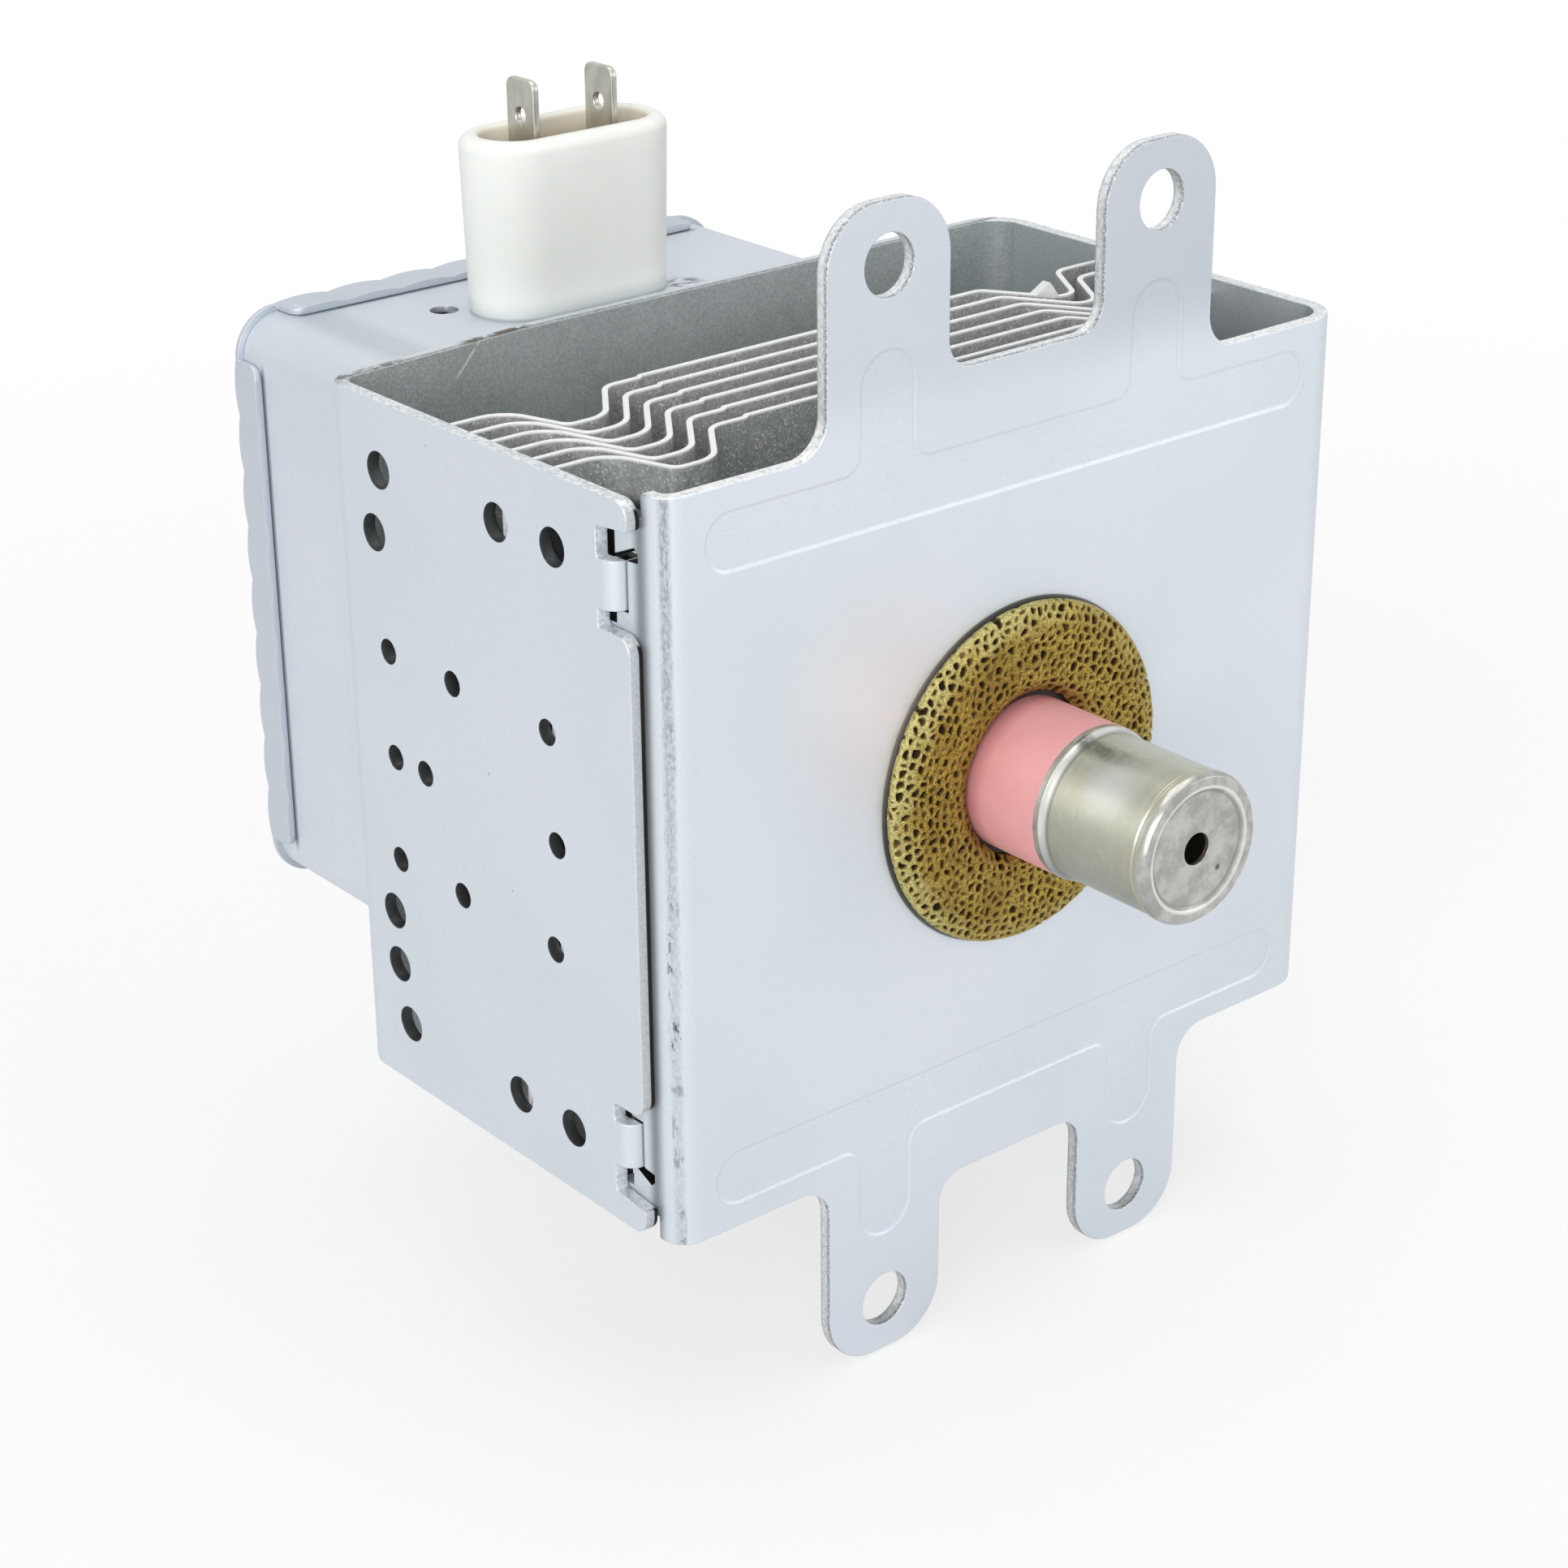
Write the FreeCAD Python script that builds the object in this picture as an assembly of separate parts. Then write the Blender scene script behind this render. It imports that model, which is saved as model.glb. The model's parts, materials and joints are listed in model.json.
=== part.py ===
import FreeCAD, Part
import math
import os

# A cooled magnetron for a microwave oven, in millimetres.
# The origin is where the antenna's axis crosses the front face of the mounting plate.
# The antenna points along -Y, +X is to the right seen from the front, and +Z is up.

# Yoke: one steel strip folded into a frame that is open at the top and the bottom.
SHEET = 1.5
YOKE_WIDTH = 91.3
YOKE_DEPTH = 52.8
YOKE_HEIGHT = 77.0
LEFT_WALL_SHORTER = 1.4
RIGHT_BEND_R = 5.0
REAR_LEFT_BEND_R = 3.5
FRONT_LEFT_BEND_R = 2.7
SEAM_GAP = 0.1
TUCKED_FLANGE_END = 13.0
TUCKED_FLANGE_DROP = 2.4
SHORT_WALL_TAPER = 20.0

# Ears with the four mounting holes, and the plate's raised edge between them.
MOUNT_SPACING_X = 35.0
MOUNT_SPACING_Z = 110.0
MOUNT_HOLE_R = 3.0
EAR_WIDTH = 15.0
EAR_END = 6.0
EAR_CORNER_R = 6.0
BETWEEN_EARS_RISE = 5.0
OUTER_FILLET_R = 3.6
INNER_FILLET_R = 3.0

# Ribs pressed into the plate: a long bar with one finger up each ear.
RIB_DEPTH = 0.3
RIB_SLOPE = 0.27
RIB_WIDTH = 6.0
RIB_END_GAP = 6.25
RIB_TOP_GAP = 5.5
FINGER_WIDTH = 7.0
FINGER_TIP_GAP = 7.8
FINGER_FILLET_R = 2.0

# Hook joints that close the folded strip at its front left edge.
WALL_FRONT = 3.3
WALL_CORNER_R = 1.8
NOTCH_BACK = 8.0
NOTCH_TOP_GAP = 3.2
NOTCH_HEIGHT = 9.85
NOTCH_RISE = 0.5
NOTCH_CORNER_R = 0.3
TONGUE_DROP = 3.05
TONGUE_WIDTH = 4.9
TONGUE_FRONT = 5.65
TONGUE_BEND_R = 1.7
TONGUE_REACH = 3.8
WINDOW_CLEARANCE = 0.15
SLOT_BACK = 9.2
SLOT_INSET = 0.3
HORN_REACH = 1.6
HORN_SIDE = 0.8
HORN_RISE = 1.3
HORN_TIP_INSET = 0.5

# Holes in the left wall: distance from the plate or from the rear wall, and height.
LARGE_HOLE_R = 1.9
SMALL_HOLE_R = 1.3
LARGE_FROM_FRONT = [(23.7, 30.6), (14.8, 30.6), (23.7, -30.6), (14.8, -30.6)]
LARGE_FROM_REAR = [(9.4, 30.6), (8.0, 23.8), (7.6, -18.0), (7.9, -24.1), (9.4, -30.6)]
SMALL_FROM_FRONT = [(16.7, 11.5), (15.8, 0.0), (16.7, -11.5)]
SMALL_FROM_REAR = [(9.3, 11.5), (20.4, 11.5), (9.5, 0.0), (14.8, 0.0), (9.3, -11.5), (20.4, -11.5)]

# Ring magnets, one against each end of the yoke; their rims stay inside the fins' waves.
MAGNET_WAVE_GAP = 3.95
MAGNET_BORE_R = 11.0
MAGNET_THICKNESS = 13.0
MAGNET_CHAMFER = 0.6

# Anode: a copper cylinder with ten vanes, strapped at both ends.
ANODE_BORE_R = 17.5
ANODE_WALL = 1.8
POLE_SEAT_STEP = 0.6
SEAL_FLANGE = 0.8
VANE_COUNT = 10
VANE_THICKNESS = 1.9
VANE_TIP_R = 4.5
VANE_LENGTH = 9.4
STRAP_HEIGHT = 0.9
STRAP_WIDTH = 0.8
INNER_STRAP_R = 6.9
OUTER_STRAP_R = 8.1
STRAP_TOP_DEPTH = 0.3
STRAP_CLEARANCE = 0.3
BORE_OVERRUN = 1.0

# Iron pole pieces that close the ends of the anode.
POLE_THICKNESS = 1.6
POLE_HOLE_R = 4.6
POLE_CONE_BASE_R = 7.4
POLE_CONE_TIP_R = 5.6
POLE_CONE_HEIGHT = 3.0

# Cooling fins, pressed onto the anode by their collars. Each has a wave near both walls:
# from the wall inward a flat, a ramp, a valley and a second ramp, given by their runs along X
# and by the bend at the inner end of each. The left part is stepped a little forward.
FIN_COUNT = 6
FIN_THICKNESS = 0.6
FIN_SETBACK = 1.5
FIN_COLLAR_GAP = 0.54
FIN_END_CLEARANCE = 0.25
LEFT_WAVE_RUNS = (7.2, 2.45, 4.55, 5.35)
LEFT_WAVE_BENDS = (3.7, 1.5, 3.8, 2.7)
LEFT_WAVE_DEPTH = 7.85
RIGHT_WAVE_RUNS = (6.7, 4.45, 2.3, 4.6)
RIGHT_WAVE_BENDS = (2.6, 2.1, 1.8, 1.5)
RIGHT_WAVE_DEPTH = 7.35
STEP_GAP = 4.2
STEP_RUN = 0.6
STEP_DEPTH = 0.45
STEP_BEND_R = 0.5

# A torn burr that stands up from the last fin's edge, on its right side.
BURR_WIDTH = 1.5
BURR_HEIGHT = 1.5
BURR_INSET = 0.7

# Antenna side.
SEAL_WALL = 0.6
SEAL_BORE_CLEARANCE = 0.4
SEAL_SKIRT = 6.8
SEAL_CONE = 3.0
SEAL_NARROW_R = 8.6
PLATE_HOLE_CLEARANCE = 0.4
SEAL_FRONT = -0.6
CERAMIC_R = 8.0
CERAMIC_BORE_R = 6.2
CERAMIC_FRONT = -10.4
CAP_FRONT = -24.9
CAP_R = 7.6
CAP_WALL = 0.5
CAP_LIP_R = 7.95
CAP_LIP_EDGE = 0.35
CAP_FLARE = 0.9
CAP_BEAD_R = 7.75
CAP_BEAD_LENGTH = 1.2
CAP_BEAD_ROUND = 0.35
CAP_GROOVE_DEPTH = 0.18
CAP_GROOVE_WIDTH = 0.2
CAP_GROOVE_SLOPE = 0.15
CAP_INNER_CORNER = 0.8
CAP_HOLE_R = 1.65
CAP_RECESS_R = 5.9
CAP_RECESS = 0.35
GASKET_R = 18.0
GASKET_THICKNESS = 2.0
GASKET_EDGE = 0.5
GASKET_CROWN = 3.0
GASKET_SHOULDER = 1.3
GASKET_DISH = 1.6
GASKET_DISH_DROP = 0.8
LEAD_R = 1.0
LEAD_START_R = 10.2
LEAD_BEND_R = 4.0
LEAD_RISE = 1.0
LEAD_HOLE_R = 2.0
LEAD_HOLE_PLACE = 9.0
EXHAUST_RIM = 3.0
EXHAUST_TUBE_R = 2.8
EXHAUST_TUBE_WALL = 0.8
EXHAUST_ROOT = 1.0
PINCH_GAP = 7.5
PINCH_CONE = 2.4
PINCH_BLADE = 2.2
PINCH_THICKNESS = 1.2
PINCH_WIDTH = 7.0

# Cathode side.
FILAMENT_R = 1.95
FILAMENT_WIRE_R = 0.3
FILAMENT_TURNS = 8
HAT_R = 3.9
HAT_THICKNESS = 0.8
HAT_GAP = 0.3
CATHODE_LEAD_R = 0.8
HAT_HOLE_CLEARANCE = 0.4
SIDE_LEAD_OFFSET = 3.0
STEM_SEAL_R = 9.5
STEM_CERAMIC_R = 8.5
STEM_LIP = 1.5
STEM_CERAMIC_LENGTH = 7.3
STEM_HOLE_R = 11.5
LEAD_TAIL = 4.6

# Filter box on the back of the yoke, and its lid.
BOX_SHEET = 0.8
BOX_LEFT = -40.8
BOX_RIGHT = 21.5
BOX_BOTTOM = -26.4
BOX_TOP_DROP = 0.7
BOX_DEPTH = 22.9
BOX_CORNER_R = 4.5
BOX_HOLE_CLEARANCE = 0.4
VENT_R = 1.5
VENT_OFFSET = 12.7
LID_SHEET = 0.6
LID_SKIRT = 3.5
LID_GAP = 0.05
SCALLOP_PITCH = 6.3
SCALLOP_RISE = 0.3
SKIRT_CORNER_R = 1.5
RIVET_SHANK_R = 1.5
RIVET_HEAD_R = 2.5
RIVET_HEAD_HEIGHT = 0.9
RIVET_HEAD_EDGE = 0.3
RIVET_HEAD_SLOPE = 0.6
RIVET_SIDE_INSET = 5.8
RIVET_RIGHT_INSET = 4.6
RIVET_TOP_INSET = 15.8
RIVET_MAGNET_GAP = 5.85
RIVET_BOTTOM_INSET = 6.4

# Feed-through capacitor with its white shroud and two push-on tabs.
BLOCK_X = -10.3
BLOCK_SETBACK = 6.6
TAB_SPACING = 10.0
SHROUD_STRAIGHT = 12.6
SHROUD_FOOT_R = 5.35
SHROUD_RIM_R = 5.75
SHROUD_HEIGHT = 18.7
SHROUD_WALL = 2.1
SHROUD_FLOOR = 3.2
SHROUD_LIP = 1.3
SHROUD_INNER_LIP = 0.3
SPIGOT_INSET = 1.2
FLANGE_PLATE_OVERHANG = 5.0
FLANGE_PLATE_CORNER_R = 2.0
CAPACITOR_BODY_R = 4.9
CAPACITOR_BODY_LENGTH = 13.0
TAB_WIDTH = 4.75
TAB_THICKNESS = 0.8
TAB_STANDOUT = 5.3
TAB_CORNER = 1.0
TAB_HOLE_R = 0.85
TAB_HOLE_DROP = 3.8
TAB_TAIL = 3.5

# Chokes between the cathode leads and the capacitor.
WIRE_R = 0.6
CORE_R = 2.8
COIL_LENGTH = 26.0
CORE_OVERHANG = 1.0
CHOKE_WALL_GAP = 8.8
CHOKE_SPACING = 10.5
CHOKE_FLOOR_GAP = 13.4
TAIL_INSET = 0.05
WIRE_BEND_R = 1.4
LEFT_TAIL_RISE = 5.4
RIGHT_TAIL_RISE = 9.4
TAIL_TAB_GAP = 2.4
FAR_SIDE_X = 4.6

# Places that follow from the sizes above: the yoke's faces and what is set out from them.
HALF_WIDTH = YOKE_WIDTH / 2
HALF_HEIGHT = YOKE_HEIGHT / 2
LEFT_WALL_TOP = HALF_HEIGHT - LEFT_WALL_SHORTER / 2
WALL_INSIDE = HALF_WIDTH - SHEET
REAR_INNER = YOKE_DEPTH - SHEET
NOTCH_HIGH_Z = LEFT_WALL_TOP - NOTCH_TOP_GAP
NOTCH_LOW_Z = NOTCH_HIGH_Z - NOTCH_HEIGHT
TONGUE_HIGH_Z = NOTCH_HIGH_Z - TONGUE_DROP
TONGUE_LOW_Z = TONGUE_HIGH_Z - TONGUE_WIDTH

# The stack of plates, magnets and anode along Y, and the radii that seat on each other.
MAGNET_R = WALL_INSIDE - sum(LEFT_WAVE_RUNS[:3]) - MAGNET_WAVE_GAP
ANODE_R = ANODE_BORE_R + ANODE_WALL
POLE_SEAT_R = ANODE_BORE_R + POLE_SEAT_STEP
SEAL_WIDE_R = MAGNET_BORE_R - SEAL_BORE_CLEARANCE
ANODE_FRONT = SHEET + MAGNET_THICKNESS + SEAL_FLANGE
ANODE_BACK = REAR_INNER - MAGNET_THICKNESS - SEAL_FLANGE
ANODE_MIDDLE = (ANODE_FRONT + ANODE_BACK) / 2
VANE_FRONT = ANODE_MIDDLE - VANE_LENGTH / 2
VANE_BACK = ANODE_MIDDLE + VANE_LENGTH / 2
COLLAR_SLACK = FIN_THICKNESS / 2 + FIN_COLLAR_GAP - FIN_END_CLEARANCE
FIN_PITCH = (ANODE_BACK - ANODE_FRONT + 2 * COLLAR_SLACK) / (FIN_COUNT + 1)
FIN_COLLAR = FIN_PITCH - FIN_THICKNESS - FIN_COLLAR_GAP

# The filter box and what is set out from its walls.
BOX_BACK = YOKE_DEPTH + BOX_DEPTH
BOX_TOP = HALF_HEIGHT - BOX_TOP_DROP
BLOCK_Y = YOKE_DEPTH + BLOCK_SETBACK
VENT_X = BLOCK_X - VENT_OFFSET
LEFT_RIVET_X = BOX_LEFT + RIVET_SIDE_INSET
RIGHT_RIVET_X = BOX_RIGHT - RIVET_RIGHT_INSET
RIVET_PLACES = [
    (LEFT_RIVET_X, BOX_TOP - RIVET_TOP_INSET),
    (LEFT_RIVET_X, BOX_BOTTOM + RIVET_BOTTOM_INSET),
    (RIGHT_RIVET_X, math.sqrt((MAGNET_R + RIVET_MAGNET_GAP) ** 2 - RIGHT_RIVET_X ** 2)),
]
LEFT_CHOKE_X = BOX_LEFT + CHOKE_WALL_GAP
RIGHT_CHOKE_X = LEFT_CHOKE_X + CHOKE_SPACING
CHOKE_LOW_Z = BOX_BOTTOM + CHOKE_FLOOR_GAP
LEFT_TAIL_Z = BOX_BOTTOM + LEFT_TAIL_RISE
RIGHT_TAIL_Z = BOX_BOTTOM + RIGHT_TAIL_RISE

# The ears.
EAR_TIP = MOUNT_SPACING_Z / 2 + EAR_END
EAR_INNER = MOUNT_SPACING_X / 2 - EAR_WIDTH / 2
EAR_OUTER = MOUNT_SPACING_X / 2 + EAR_WIDTH / 2


def vec(x, y, z):
    return FreeCAD.Vector(x, y, z)


def path_edges(corners, radii, closed):
    """Straight edges through the corners, with an arc of the given radius at each."""
    cuts = []
    last = len(corners) - 1
    for i, corner in enumerate(corners):
        if radii[i] == 0 or (not closed and i in (0, last)):
            cuts.append((corner, None, corner))
            continue
        back = (corners[i - 1] - corner).normalize()
        ahead = (corners[(i + 1) % len(corners)] - corner).normalize()
        half = back.getAngle(ahead) / 2
        inward = (back + ahead).normalize()
        reach = radii[i] / math.tan(half)
        middle = corner + inward * (radii[i] / math.sin(half) - radii[i])
        cuts.append((corner + back * reach, middle, corner + ahead * reach))
    edges = []
    for i, (start, middle, end) in enumerate(cuts):
        if middle is not None:
            edges.append(Part.Arc(start, middle, end).toShape())
        if i < last or closed:
            next_start = cuts[(i + 1) % len(cuts)][0]
            if (next_start - end).Length > 1e-6:
                edges.append(Part.LineSegment(end, next_start).toShape())
    return edges


def outline(corners, radii):
    """A flat face whose corners are rounded."""
    return Part.Face(Part.Wire(path_edges(corners, radii, True)))


def offset_corners(corners, axis, shift):
    """Corners of a path moved sideways; the side is axis crossed with the path's direction."""
    moved = []
    last = len(corners) - 1
    for i, corner in enumerate(corners):
        arriving = corner - corners[i - 1] if i > 0 else corners[1] - corner
        leaving = corners[i + 1] - corner if i < last else arriving
        before = axis.cross(arriving).normalize()
        after = axis.cross(leaving).normalize()
        moved.append(corner + (before + after) * (shift / (1 + before.dot(after))))
    return moved


def bent_sheet(corners, radii, thickness, axis):
    """The edge-on face of a bent sheet that follows a path at the middle of its thickness."""
    half = thickness / 2
    turns = []
    last = len(corners) - 1
    for i in range(len(corners)):
        if i in (0, last):
            turns.append(0)
            continue
        cross = (corners[i] - corners[i - 1]).cross(corners[i + 1] - corners[i])
        turns.append(1 if cross.dot(axis) > 0 else -1)
    near = path_edges(offset_corners(corners, axis, half),
                      [r - half * t if r else 0 for r, t in zip(radii, turns)], False)
    far = path_edges(offset_corners(corners, axis, -half),
                     [r + half * t if r else 0 for r, t in zip(radii, turns)], False)
    ends = []
    for i in (0, -1):
        a = near[i].Vertexes[i].Point
        b = far[i].Vertexes[i].Point
        ends.append(Part.LineSegment(a, b).toShape())
    return Part.Face(Part.Wire(Part.__sortEdges__(near + far + ends)))


def block(x0, x1, y0, y1, z0, z1):
    return Part.makeBox(x1 - x0, y1 - y0, z1 - z0, vec(x0, y0, z0))


def rod(radius, y0, y1, x=0.0, z=0.0):
    return Part.makeCylinder(radius, y1 - y0, vec(x, y0, z), vec(0, 1, 0))


def ring(inner, outer, y0, y1):
    return rod(outer, y0, y1).cut(rod(inner, y0, y1))


def turned(profile):
    """A solid of revolution about the antenna's axis from (radius, y) points."""
    points = [vec(r, y, 0) for r, y in profile]
    face = Part.Face(Part.makePolygon(points + points[:1]))
    return face.revolve(vec(0, 0, 0), vec(0, 1, 0), 360)


def joined(shapes):
    """The shapes fused into one clean solid."""
    return shapes[0].fuse(shapes[1:]).removeSplitter()


def mirrored(shape, normal):
    return shape.mirror(vec(0, 0, 0), normal)


def racetrack(radius, straight, z):
    """A flat wire with round ends, centred on the terminal block."""
    half = straight / 2
    a = vec(BLOCK_X - half, BLOCK_Y - radius, z)
    b = vec(BLOCK_X + half, BLOCK_Y - radius, z)
    c = vec(BLOCK_X + half, BLOCK_Y + radius, z)
    d = vec(BLOCK_X - half, BLOCK_Y + radius, z)
    right = Part.Arc(b, vec(BLOCK_X + half + radius, BLOCK_Y, z), c)
    left = Part.Arc(d, vec(BLOCK_X - half - radius, BLOCK_Y, z), a)
    sides = [Part.LineSegment(a, b), right, Part.LineSegment(c, d), left]
    return Part.Wire([side.toShape() for side in sides])


def racetrack_block(radius, straight, z0, z1):
    return Part.Face(racetrack(radius, straight, z0)).extrude(vec(0, 0, z1 - z0))


def tapered_racetrack(low_r, high_r, straight, z0, z1):
    """Two cones and the straight block between them, wider at the top than at the foot."""
    half = straight / 2
    pieces = [Part.makeCone(low_r, high_r, z1 - z0, vec(BLOCK_X + side * half, BLOCK_Y, z0))
              for side in (-1, 1)]
    x = BLOCK_X - half
    corners = [vec(x, BLOCK_Y - low_r, z0), vec(x, BLOCK_Y + low_r, z0),
               vec(x, BLOCK_Y + high_r, z1), vec(x, BLOCK_Y - high_r, z1)]
    pieces.append(Part.Face(Part.makePolygon(corners + corners[:1])).extrude(vec(straight, 0, 0)))
    return joined(pieces)


def wire_along(corners, bend_r, radius):
    """A round wire that follows a path with equal bends."""
    radii = [0] + [bend_r] * (len(corners) - 2) + [0]
    spine = Part.Wire(path_edges(corners, radii, False))
    direction = corners[1] - corners[0]
    section = Part.Wire(Part.makeCircle(radius, corners[0], direction))
    return spine.makePipeShell([section], True, False)


def plate_outline():
    """The front plate: straight edges, four ears and a raised edge between each pair."""
    step = HALF_HEIGHT + BETWEEN_EARS_RISE
    side = HALF_WIDTH - RIGHT_BEND_R
    left_side = HALF_WIDTH - SHEET - SEAM_GAP - FRONT_LEFT_BEND_R
    quarter = [
        (EAR_OUTER, HALF_HEIGHT, OUTER_FILLET_R),
        (EAR_OUTER, EAR_TIP, EAR_CORNER_R),
        (EAR_INNER, EAR_TIP, EAR_CORNER_R),
        (EAR_INNER, step, INNER_FILLET_R),
    ]
    top = [(side, HALF_HEIGHT, 0)] + quarter
    top += [(-x, z, r) for x, z, r in reversed(quarter)] + [(-left_side, HALF_HEIGHT, 0)]
    whole = top + [(x, -z, r) for x, z, r in reversed(top)]
    corners = [vec(x, 0, z) for x, z, r in whole]
    return outline(corners, [r for x, z, r in whole])


def rib_solid(front, back, inset):
    """One rib between two depths, drawn in by an inset, with sloping sides."""
    middle = HALF_HEIGHT - RIB_TOP_GAP
    low = middle - RIB_WIDTH / 2 + inset
    high = middle + RIB_WIDTH / 2 - inset
    end = HALF_WIDTH - RIB_END_GAP - inset
    tip = MOUNT_SPACING_Z / 2 - FINGER_TIP_GAP - inset
    bar_r = (high - low) / 2
    inner = MOUNT_SPACING_X / 2 - FINGER_WIDTH / 2 + inset
    outer = MOUNT_SPACING_X / 2 + FINGER_WIDTH / 2 - inset
    finger_r = (outer - inner) / 2
    root_r = FINGER_FILLET_R + inset
    half = [
        (end, low, bar_r),
        (end, high, bar_r),
        (outer, high, root_r),
        (outer, tip, finger_r),
        (inner, tip, finger_r),
        (inner, high, root_r),
    ]
    whole = half + [(-x, z, r) for x, z, r in reversed(half)]
    face = outline([vec(x, front, z) for x, z, r in whole], [r for x, z, r in whole])
    body = face.extrude(vec(0, back - front, 0))
    rim = [edge for edge in body.Edges if min(v.Point.y for v in edge.Vertexes) > back - RIB_DEPTH / 2]
    return body.makeChamfer(RIB_SLOPE, rim)


def left_wall():
    """The wall with the hook notches, rounded corners and its pattern of holes."""
    top = LEFT_WALL_TOP
    front = WALL_FRONT
    back = YOKE_DEPTH - REAR_LEFT_BEND_R
    upper = [
        (back, top, 0),
        (front, top, WALL_CORNER_R),
        (front, NOTCH_HIGH_Z + NOTCH_RISE, NOTCH_CORNER_R),
        (NOTCH_BACK, NOTCH_HIGH_Z, NOTCH_CORNER_R),
        (NOTCH_BACK, NOTCH_LOW_Z, NOTCH_CORNER_R),
        (front, NOTCH_LOW_Z, WALL_CORNER_R),
    ]
    whole = upper + [(y, -z, r) for y, z, r in reversed(upper)]
    outer = -HALF_WIDTH
    face = outline([vec(outer, y, z) for y, z, r in whole], [r for y, z, r in whole])
    wall = face.extrude(vec(SHEET, 0, 0))
    holes = []
    for radius, from_front, from_rear in ((LARGE_HOLE_R, LARGE_FROM_FRONT, LARGE_FROM_REAR),
                                          (SMALL_HOLE_R, SMALL_FROM_FRONT, SMALL_FROM_REAR)):
        places = from_front + [(YOKE_DEPTH - back, z) for back, z in from_rear]
        for y, z in places:
            holes.append(Part.makeCylinder(radius, SHEET, vec(outer, y, z), vec(1, 0, 0)))
    return wall.cut(Part.makeCompound(holes))


def tongue():
    """The tab that reaches across a notch and hooks inward through the flange."""
    middle = -HALF_WIDTH + SHEET / 2
    leg_y = TONGUE_FRONT + SHEET / 2
    end = -HALF_WIDTH + TONGUE_REACH
    path = [vec(middle, NOTCH_BACK, TONGUE_LOW_Z), vec(middle, leg_y, TONGUE_LOW_Z),
            vec(end, leg_y, TONGUE_LOW_Z)]
    face = bent_sheet(path, [0, TONGUE_BEND_R - SHEET / 2, 0], SHEET, vec(0, 0, 1))
    return face.extrude(vec(0, 0, TONGUE_HIGH_Z - TONGUE_LOW_Z))


def flange_window():
    """The opening behind a notch: a slot, the tongue's window and a horn beside the tongue."""
    x0 = -HALF_WIDTH + SHEET + SEAM_GAP / 2
    x1 = -HALF_WIDTH + 2 * SHEET + 2 * SEAM_GAP
    slot_front = TONGUE_FRONT + SHEET + WINDOW_CLEARANCE
    slot = block(x0, x1, slot_front, SLOT_BACK, NOTCH_LOW_Z + SLOT_INSET, NOTCH_HIGH_Z - SLOT_INSET)
    low = TONGUE_LOW_Z - WINDOW_CLEARANCE
    high = TONGUE_HIGH_Z + WINDOW_CLEARANCE
    front = TONGUE_FRONT - WINDOW_CLEARANCE
    window = block(x0, x1, front, SLOT_BACK, low, high)
    tip = front - HORN_REACH
    horn = [(slot_front, high - WINDOW_CLEARANCE), (front, high - WINDOW_CLEARANCE),
            (tip, high), (tip, high + HORN_SIDE), (tip + HORN_TIP_INSET, high + HORN_RISE),
            (slot_front, high)]
    points = [vec(x0, y, z) for y, z in horn]
    horn_cut = Part.Face(Part.makePolygon(points + points[:1])).extrude(vec(x1 - x0, 0, 0))
    return joined([slot, window, horn_cut])


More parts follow.
